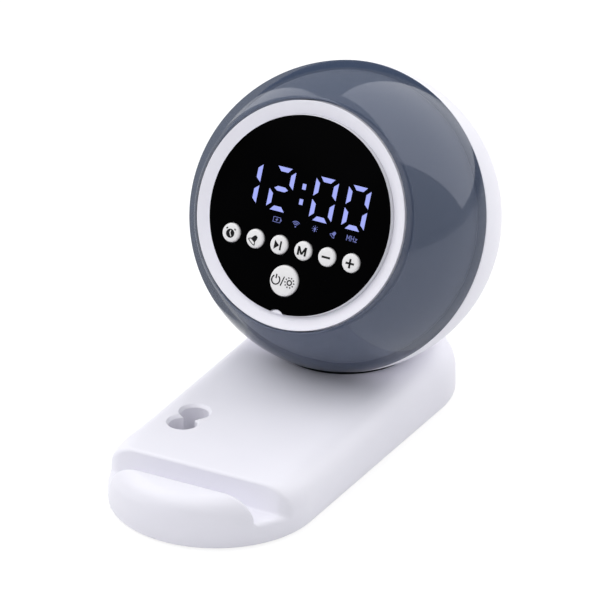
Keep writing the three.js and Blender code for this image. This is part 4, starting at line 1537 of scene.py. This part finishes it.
@dataclass
class Face:
    """The round display: bezel, lens, lit digits and icons, and the seven keys with their marks."""

    bezel_radius: float = 36.85
    bezel_front: float = 32.9
    bezel_rim: float = 0.2
    bezel_deep: float = 31.6
    bezel_back: float = 22.0
    bezel_wall: float = 35.2
    lens_radius: float = 32.45
    lens_top_radius: float = 32.15
    lens_back: float = 31.0
    lens_front: float = 33.3
    lens_edge: float = 0.1
    lens_gap: float = 0.04
    ledge_inner: float = 30.4
    ledge_thick: float = 1.5
    tab_radius: float = 2.8
    tab_spot: Point = (-1.2, -33.9)
    tab_top: float = 33.0
    tab_edge: float = 0.4
    tab_past_lens: float = -0.15
    tab_gap: float = 0.08
    board_post_ring: float = 32.8
    board_post_radius: float = 2.0
    board_post_back: float = 25.3
    board_post_bore: float = 1.0
    board_post_bore_front: float = 28.8
    key_pitch: float = 8.7
    key_aside: float = -0.65
    key_row: float = -10.7
    key_radius: float = 3.1
    power_row: float = -21.5
    power_radius: float = 5.0
    key_proud: float = 0.9
    key_edge: float = 0.8
    flange_back: float = 29.5
    flange_wider: float = 0.85
    flange_edge: float = 0.2
    dome_drop: float = 0.05
    # Where the low dome flattens: share of the cap's radius, and drop.
    dome_flat: Point = (0.4, 0.01)
    digit_width: float = 8.14
    digit_height: float = 14.25
    digit_low: float = -0.42
    # Each digit of the time, with the place of its left side.
    digit_places: tuple[tuple[str, float], ...] = (
        ("1", -24.37),
        ("2", -12.47),
        ("0", 3.08),
        ("0", 14.88),
    )
    colon_aside: float = -0.6
    colon_rows: Point = (9.25, 4.3)
    colon_half: float = 0.92
    colon_width: float = 1.28
    bar_width: float = 1.52
    bar_proud: float = 0.04
    bar_sunk: float = 0.1
    mark_proud: float = 0.05
    mark_sunk: float = 0.12
    hands_proud: float = 0.08
    bell_turn: float = -36.0
    mark_shift: Point = (-0.03, -0.15)
    icon_row: float = -3.1

    def build(self) -> None:
        """Builds and dresses every piece of the face."""
        settle("bezel_ring_soft", self.bezel(), [WHITE_ABS], "head", ["bezel_ring"], HEAD)
        settle("display_lens_cut", self.lens(), [BLACK_LENS, FROSTED_EDGE], "head", ["display_lens"], HEAD)
        settle("display_digits", self.digits(), [LIT_BAR], "head", place=HEAD)
        settle("display_icons", self.icons(), [LIT_ICON], "head", place=HEAD)
        for key in Key:
            spot = self.key_spot(key)
            place = HEAD @ Matrix.Translation((*spot, 0))
            name = f"button_{key.value}"
            body = f"{key.value}_key"
            settle(f"{name}_cap", self.cap(self.cap_radius(key)), [CAP_ABS], body, [name], place)
            top = self.lens_front + self.key_proud
            mark = self.mark(key).raised(top - self.mark_sunk, top + self.mark_proud)
            settle(f"{name}_mark", mark, [BLACK_INK], body, place=place)
            if key is Key.ALARM:
                hands = self.hands().raised(top - self.bar_sunk, top + self.hands_proud)
                settle(f"{name}_hands", hands, [CAP_ABS], body, place=place)

    def cap_radius(self, key: Key) -> float:
        """Gives a key's radius in mm."""
        return self.power_radius if key is Key.POWER else self.key_radius

    def key_spot(self, key: Key) -> Point:
        """Finds a key's place on the face.

        Args:
            key: Which key.

        Returns:
            Its middle in mm, in the ball's frame.
        """
        if key is Key.POWER:
            return self.key_aside, self.power_row
        in_row = [other for other in Key if other is not Key.POWER]
        from_middle = in_row.index(key) - (len(in_row) - 1) / 2
        return from_middle * self.key_pitch + self.key_aside, self.key_row

    def bezel(self) -> bmesh.types.BMesh:
        """Turns the white ring with its ledge and skirt, and adds the tab and the board's posts.

        Returns:
            The ring, in the ball's frame.
        """
        seat = self.lens_radius + self.lens_gap
        ledge_front = self.lens_back - FIT
        ledge_back = ledge_front - self.ledge_thick
        rim = self.bezel_rim
        ring = turned(
            [
                (seat, self.bezel_deep),
                *arc((self.bezel_radius - rim, self.bezel_front - rim), rim, 110, 0, 7),
                (self.bezel_radius, self.bezel_back),
                (self.bezel_wall, self.bezel_back),
                (self.bezel_wall, ledge_back),
                (self.ledge_inner, ledge_back),
                (self.ledge_inner, ledge_front),
                (seat, ledge_front),
            ],
            192,
        )
        ledge_inside = ledge_back + OVERLAP
        tab = pillar(self.tab_radius, ledge_inside, self.tab_top, self.tab_spot, 64)
        soften(tab, self.tab_edge)
        near, far = self.lens_radius + self.tab_past_lens, FAR
        outside = turned([(near, 0.0), (far, 0.0), (far, far), (near, far)], 192)
        tab = carve(tab, [outside])
        posts = []
        for spot in arc((0.0, 0.0), self.board_post_ring, 0, 240, 2):
            post = pillar(self.board_post_radius, self.board_post_back, ledge_inside, spot, 24)
            bore_back = self.board_post_back - FIT
            bore = pillar(self.board_post_bore, bore_back, self.board_post_bore_front, spot, 12)
            posts.append(carve(post, [bore]))
        return carve(ring, [tab, *posts], "UNION")

    def lens(self) -> bmesh.types.BMesh:
        """Turns the black disc, pierces it for the keys and marks its cut edge.

        Returns:
            The lens, in the ball's frame.
        """
        disc = turned(
            [
                (0.0, self.lens_back),
                (self.lens_radius, self.lens_back),
                (self.lens_radius, self.bezel_deep),
                (self.lens_top_radius, self.lens_front),
                (0.0, self.lens_front),
            ],
            192,
            closed=False,
        )
        soften(disc, self.lens_edge, 2, 30.0)
        behind = self.lens_back - OVERLAP
        notch = self.tab_radius + self.tab_gap
        cutters = [pillar(self.cap_radius(key) + FIT, behind, FAR, self.key_spot(key), 48) for key in Key]
        cutters.append(pillar(notch, behind, FAR, self.tab_spot, 48))
        lens = carve(disc, cutters)
        for face in lens.faces:
            middle = face.calc_center_median()
            on_edge = math.hypot(middle.x, middle.y) > self.lens_top_radius - self.lens_edge / 2
            in_notch = math.dist(middle.xy, self.tab_spot) < notch + self.lens_gap / 2
            face.material_index = 1 if on_edge or in_notch else 0
        return lens

    def cap(self, radius: float) -> bmesh.types.BMesh:
        """Turns one key: rounded cap with a low dome, and its flange behind the lens.

        Args:
            radius: The cap's radius in mm.

        Returns:
            The key, about its own axis.
        """
        top = self.lens_front + self.key_proud
        flange_front = self.lens_back - FIT
        wide = radius + self.flange_wider
        edge = self.key_edge
        flat, drop = self.dome_flat
        profile = [
            (0.0, self.flange_back),
            (wide - self.flange_edge, self.flange_back),
            (wide, self.flange_back + self.flange_edge),
            (wide, flange_front),
            (radius, flange_front),
            *arc((radius - edge, top - self.dome_drop - edge), edge, 0, 84, 9),
            (radius * flat, top - drop),
            (0.0, top),
        ]
        return turned(profile, 72, closed=False)

    def bar_outline(self, bar: Bar) -> list[Point]:
        """Gives one bar of a digit, from the digit's lower left corner.

        Args:
            bar: Which bar.

        Returns:
            The corners of its outline in mm.
        """
        width, height, thick = self.digit_width, self.digit_height, self.bar_width
        half = height / 2
        if bar is Bar.MIDDLE:
            return [
                (1.6, half),
                (2.75, half + thick / 2),
                (width - 2.75, half + thick / 2),
                (width - 1.6, half),
                (width - 2.75, half - thick / 2),
                (2.75, half - thick / 2),
            ]
        if bar in (Bar.TOP, Bar.BOTTOM):
            flat = [
                (1.5, height),
                (width - 1.5, height),
                (width - 2.8, height - thick),
                (2.8, height - thick),
            ]
            return flat if bar is Bar.TOP else [(x, height - y) for x, y in flat]
        upright = [
            (width, height - 0.85),
            (width, half + 0.55),
            (width - thick, half + 1.85),
            (width - thick, height - 2.2),
        ]
        if bar in (Bar.LOWER_LEFT, Bar.LOWER_RIGHT):
            upright = [(x, height - y) for x, y in upright]
        if bar in (Bar.UPPER_LEFT, Bar.LOWER_LEFT):
            upright = [(width - x, y) for x, y in upright]
        return upright

    def digits(self) -> bmesh.types.BMesh:
        """Draws the lit time with its colon.

        Returns:
            The closed mesh of the digits, in the ball's frame.
        """
        sheet = Stencil()
        for digit, left in self.digit_places:
            for bar in DIGIT_BARS[digit]:
                sheet.outline([(left + x, self.digit_low + y) for x, y in self.bar_outline(bar)])
        for middle in self.colon_rows:
            low = (self.colon_aside, middle - self.colon_half)
            high = (self.colon_aside, middle + self.colon_half)
            sheet.bar(low, high, self.colon_width)
        return sheet.raised(self.lens_front - self.bar_sunk, self.lens_front + self.bar_proud)

    def bell(self, size: float) -> Stencil:
        """Draws a bell with a dark dome and an open mouth.

        Args:
            size: Its height in mm.

        Returns:
            The sheet with the upright bell.
        """
        unit = size / 3
        dome = [(-1.05, -0.7), (1.05, -0.7), (0.85, -0.2), (0.75, 0.7), (0.45, 1.3)]
        dome += [(-0.45, 1.3), (-0.75, 0.7), (-0.85, -0.2)]
        mouth = [(-0.98, -0.65), (-1.5, -1.35), (-0.8, -1.55), (0.8, -1.55), (1.5, -1.35), (0.98, -0.65)]
        sheet = Stencil()
        sheet.outline([(x * unit, y * unit) for x, y in dome])
        points = [(x * unit, y * unit) for x, y in mouth]
        for start, end in zip(points, points[1:]):
            sheet.bar(start, end, 0.24 * unit)
        return sheet

    def icons(self) -> bmesh.types.BMesh:
        """Draws the row of small lit icons: battery, waves, lamp, bell and the tuner's unit.

        Returns:
            The closed mesh of the icons, in the ball's frame.
        """
        battery = Stencil()
        corners = [(-1.35, -0.8), (1.2, -0.8), (1.2, 0.8), (-1.35, 0.8)]
        for start, end in zip(corners, corners[1:] + corners[:1]):
            battery.bar(start, end, 0.16)
        battery.bar((1.45, -0.35), (1.45, 0.35), 0.25)
        battery.outline([(0.2, 0.6), (-0.6, -0.1), (-0.05, -0.1)])
        battery.outline([(-0.35, -0.6), (0.45, 0.1), (-0.1, 0.1)])
        waves = Stencil().disc((0.0, -0.75), 0.24, 14)
        for radius in (0.75, 1.25, 1.75):
            waves.ring((0.0, -0.75), radius, 0.24, 45, 135, 10)
        lamp = Stencil().disc((0.0, 0.15), 0.45, 18).bar((0.0, -0.1), (0.0, -0.75), 0.42)
        lamp.rays((0.0, 0.15), 0.75, 1.05, 0.16, 8)
        bell = self.bell(2.0).turn(self.bell_turn)
        unit = Stencil()
        self.letters(unit, 0.9)
        sheets = ((battery, -7.6), (waves, -0.8), (lamp, 6.1), (bell, 13.0), (unit, 19.65))
        low = self.lens_front - self.bar_sunk
        high = self.lens_front + self.bar_proud
        return merged(*[sheet.shift((x, self.icon_row)).raised(low, high) for sheet, x in sheets])

    def letters(self, sheet: Stencil, half: float) -> None:
        """Draws the unit of the tuner, a capital M, a capital H and a small z.

        Args:
            sheet: The stencil that takes them.
            half: Half the height of a capital in mm.
        """
        stroke = 0.2
        for start, end in (
            ((-1.9, -half), (-1.9, half)),
            ((-1.9, half), (-1.35, -0.3)),
            ((-1.35, -0.3), (-0.8, half)),
            ((-0.8, half), (-0.8, -half)),
            ((-0.3, -half), (-0.3, half)),
            ((0.6, -half), (0.6, half)),
            ((-0.3, 0.0), (0.6, 0.0)),
            ((1.0, 0.2), (1.8, 0.2)),
            ((1.8, 0.2), (1.0, -half + 0.1)),
            ((1.0, -half + 0.1), (1.8, -half + 0.1)),
        ):
            sheet.bar(start, end, stroke)

    def mark(self, key: Key) -> Stencil:
        """Draws the printed mark of a key.

        Args:
            key: Which key.

        Returns:
            The sheet with its mark, about the key's middle.
        """
        sheet = Stencil()
        if key is Key.ALARM:
            sheet.disc((0.0, -0.1), 1.45, 36)
            for side in (-1, 1):
                sheet.bar((side * 1.2, 1.6), (side * 1.65, 1.2), 0.4)
        elif key is Key.BELL:
            sheet = self.bell(3.0).turn(self.bell_turn)
        elif key is Key.PLAY:
            sheet.outline([(-1.35, -1.45), (0.4, 0.0), (-1.35, 1.45)])
            sheet.bar((0.9, -1.45), (0.9, 1.45), 0.55)
        elif key is Key.MODE:
            for side in (-1, 1):
                sheet.bar((side * 1.25, -1.42), (side * 1.25, 1.42), 0.64)
                sheet.bar((side * 1.2, 1.3), (0.0, -1.05), 0.6)
        elif key is Key.MINUS:
            sheet.bar((-1.5, 0.0), (1.5, 0.0), 0.66)
        elif key is Key.PLUS:
            sheet.bar((-1.5, 0.0), (1.5, 0.0), 0.66)
            sheet.bar((0.0, -1.5), (0.0, 1.5), 0.66)
        else:
            sheet.ring((-2.65, -0.05), 1.45, 0.4, 122, 418, 28)
            sheet.bar((-2.65, 0.4), (-2.65, 1.8), 0.4)
            sheet.bar((-0.68, -1.61), (0.18, 1.51), 0.36)
            sheet.ring((2.3, -0.05), 0.75, 0.38, steps=24)
            sheet.rays((2.3, -0.05), 1.35, 1.8, 0.38, 10)
        return sheet.shift(self.mark_shift)

    def hands(self) -> Stencil:
        """Draws the pale hands on the alarm key's dark clock mark."""
        sheet = Stencil().bar((0.05, 0.95), (-0.15, 0.05), 0.28).bar((-0.15, 0.1), (0.5, -1.0), 0.28)
        return sheet.shift(self.mark_shift)


class Inside:
    """The carried-over CAD pieces inside the clock, which keep their shapes and get real finishes."""

    finishes: dict[str, Finish] = {
        "stand_weight": PLATED_STEEL,
        "swivel_washer": BLACK_ACETAL,
        "swivel_post": BLACK_ACETAL,
        "swivel_retainer": PLATED_STEEL,
        "swivel_screw": PLATED_STEEL,
        "hub_screw": PLATED_STEEL,
        "port_board": GREEN_BOARD,
        "digit_block": BLACK_ACETAL,
        "display_board": GREEN_BOARD,
        "board_screw": PLATED_STEEL,
        "mid_frame": WHITE_ABS,
        "head_screw": PLATED_STEEL,
        "lamp_board": WHITE_BOARD,
        "main_board": GREEN_BOARD,
        "main_screw": PLATED_STEEL,
        "battery_lead": RED_LEAD,
        "battery": POUCH_FOIL,
        "speaker_gasket": GREY_FOAM,
        "speaker_basket": PLATED_STEEL,
        "speaker_magnet": SINTERED_FERRITE,
        "speaker_yoke": PLATED_STEEL,
        "voice_coil": COPPER_WIRE,
        "speaker_cone": PRESSED_PAPER,
        "speaker_surround": SOFT_RUBBER,
        "speaker_lead": RED_LEAD,
    }

    def dress(self) -> None:
        """Gives each CAD node that still shows its finish."""
        for name, thing in frame["nodes"].items():
            if thing.hide_render:
                continue
            match = next(finish for start, finish in self.finishes.items() if name.startswith(start))
            thing.data.materials.clear()
            thing.data.materials.append(match.material())
            LOG.info("%s: %s", name, match.name)


@dataclass
class Studio:
    """The plain floor, the softboxes, the world and the camera at the photograph's angle."""

    azimuth: float = math.radians(28.9)
    elevation: float = math.radians(27.9)
    distance: float = 8.0
    frame_width: float = 0.1919
    aim_right: float = -14.58 * MM
    aim_up: float = -26.84 * MM
    floor_radius: float = 1.2
    floor_clear: float = 0.3
    floor_shadow: float = 0.22
    floor_glow: float = 0.84
    world_level: float = 0.35
    sensor_width: float = 36.0
    clip_end: float = 100.0

    def build(self) -> None:
        """Sets up everything round the object."""
        bpy.context.scene.view_settings.view_transform = "Standard"
        self.camera()
        self.world()
        self.floor()
        self.softbox("key softbox", 155.0, 34.5, 1.1, (1.55, 1.45), 1.62)
        self.softbox("rim softbox", -125.5, 25.0, 1.3, (0.2, 1.4), 1.5)
        self.softbox("front softbox", -50.0, 57.0, 1.3, (1.9, 1.4), 1.8)
        self.softbox("right fill softbox", 48.0, 20.0, 1.5, (1.2, 0.9), 0.6, mirrored=False)
        self.softbox("left fill softbox", -85.0, 30.0, 1.5, (1.2, 0.9), 0.8, mirrored=False)

    def way(self, azimuth: float, elevation: float) -> Vector:
        """Gives the direction from the object to a place round it, from angles in radians."""
        level = math.cos(elevation)
        return Vector((math.sin(azimuth) * level, -math.cos(azimuth) * level, math.sin(elevation)))

    def facing(self, place: Vector, target: Vector) -> Matrix:
        """Gives the matrix of a camera or lamp at a place that looks at a target."""
        turn = (target - place).to_track_quat("-Z", "Y")
        return Matrix.Translation(place) @ turn.to_matrix().to_4x4()

    def camera(self) -> None:
        """Makes the camera, far off with a long lens as in the photograph."""
        back = self.way(self.azimuth, self.elevation)
        right = Vector((math.cos(self.azimuth), math.sin(self.azimuth), 0.0))
        up = back.cross(right)
        target = BALL_CENTRE * MM + right * self.aim_right + up * self.aim_up
        data = bpy.data.cameras.new("camera")
        data.sensor_width = self.sensor_width
        data.lens = self.sensor_width * self.distance / self.frame_width
        data.clip_end = self.clip_end
        camera = linked("camera", data)
        camera.matrix_world = self.facing(target + back * self.distance, target)
        bpy.context.scene.camera = camera

    def world(self) -> None:
        """Fills the room with an even soft light."""
        world = bpy.data.worlds.new("room")
        world.use_nodes = True
        world.node_tree.nodes.clear()
        light = add_node(
            world.node_tree,
            "ShaderNodeBackground",
            {"Color": linear("#F4F5FA"), "Strength": self.world_level},
        )
        add_node(world.node_tree, "ShaderNodeOutputWorld", links={"Surface": light.outputs["Background"]})
        bpy.context.scene.world = world

    def floor(self) -> None:
        """Lays a round pale floor that shows white, keeps the soft shadow and fades into the room."""
        mesh = bmesh.new()
        bmesh.ops.create_circle(mesh, cap_ends=True, segments=96, radius=self.floor_radius)
        data = stored("floor", mesh)
        paper = bpy.data.materials.new("white paper sweep")
        paper.use_nodes = True
        tree = paper.node_tree
        tree.nodes.clear()
        path = add_node(tree, "ShaderNodeLightPath")
        seen = path.outputs["Is Camera Ray"]
        for name in ("Is Glossy Ray", "Is Transmission Ray"):
            either = {0: seen, 1: path.outputs[name]}
            seen = add_node(tree, "ShaderNodeMath", {"operation": "MAXIMUM"}, either).outputs["Value"]
        sheet = add_node(tree, "ShaderNodeBsdfDiffuse", {"Color": linear("#E6E6E8")})
        grey = (self.floor_shadow, self.floor_shadow, self.floor_shadow, 1.0)
        shadowed = add_node(tree, "ShaderNodeBsdfDiffuse", {"Color": grey})
        glow = add_node(
            tree, "ShaderNodeEmission", {"Color": linear("#FFFFFF"), "Strength": self.floor_glow}
        )
        shown = add_node(
            tree, "ShaderNodeAddShader", links={0: shadowed.outputs["BSDF"], 1: glow.outputs["Emission"]}
        )
        mixed = add_node(
            tree,
            "ShaderNodeMixShader",
            links={0: seen, 1: sheet.outputs["BSDF"], 2: shown.outputs["Shader"]},
        )
        place = add_node(tree, "ShaderNodeTexCoord").outputs["Object"]
        reach = add_node(tree, "ShaderNodeVectorMath", {"operation": "LENGTH"}, {0: place})
        fade = add_node(
            tree,
            "ShaderNodeMapRange",
            {
                "From Min": self.floor_clear,
                "From Max": self.floor_radius,
                "interpolation_type": "SMOOTHSTEP",
            },
            {"Value": reach.outputs["Value"]},
        )
        room = add_node(tree, "ShaderNodeBsdfTransparent")
        faded = add_node(
            tree,
            "ShaderNodeMixShader",
            links={0: fade.outputs["Result"], 1: mixed.outputs["Shader"], 2: room.outputs["BSDF"]},
        )
        add_node(tree, "ShaderNodeOutputMaterial", links={"Surface": faded.outputs["Shader"]})
        data.materials.append(paper)
        linked("floor", data)

    def softbox(
        self,
        name: str,
        azimuth: float,
        elevation: float,
        distance: float,
        size: Point,
        radiance: float,
        mirrored: bool = True,
    ) -> None:
        """Hangs one softbox that looks at the ball.

        Args:
            name: Its name.
            azimuth: Degrees round the object, from the display's side towards the right.
            elevation: Degrees above the level of the ball.
            distance: Metres from the ball.
            size: Width and height in metres.
            radiance: How bright its cloth is, where one is as bright as white paper.
            mirrored: Whether polished surfaces show its image.
        """
        data = bpy.data.lights.new(name, "AREA")
        data.shape = "RECTANGLE"
        data.size, data.size_y = size
        data.energy = radiance * math.pi * size[0] * size[1]
        lamp = linked(name, data)
        target = BALL_CENTRE * MM
        place = target + self.way(math.radians(azimuth), math.radians(elevation)) * distance
        lamp.matrix_world = self.facing(place, target)
        lamp.visible_camera = False
        lamp.visible_glossy = mirrored


def main() -> None:
    """Builds the clock piece by piece, then its studio."""
    logging.basicConfig(level=logging.INFO, format="%(message)s")
    for assembly in (Stand(), Ball(), Face()):
        assembly.build()
    Inside().dress()
    Studio().build()


if __name__ == "__main__":
    main()
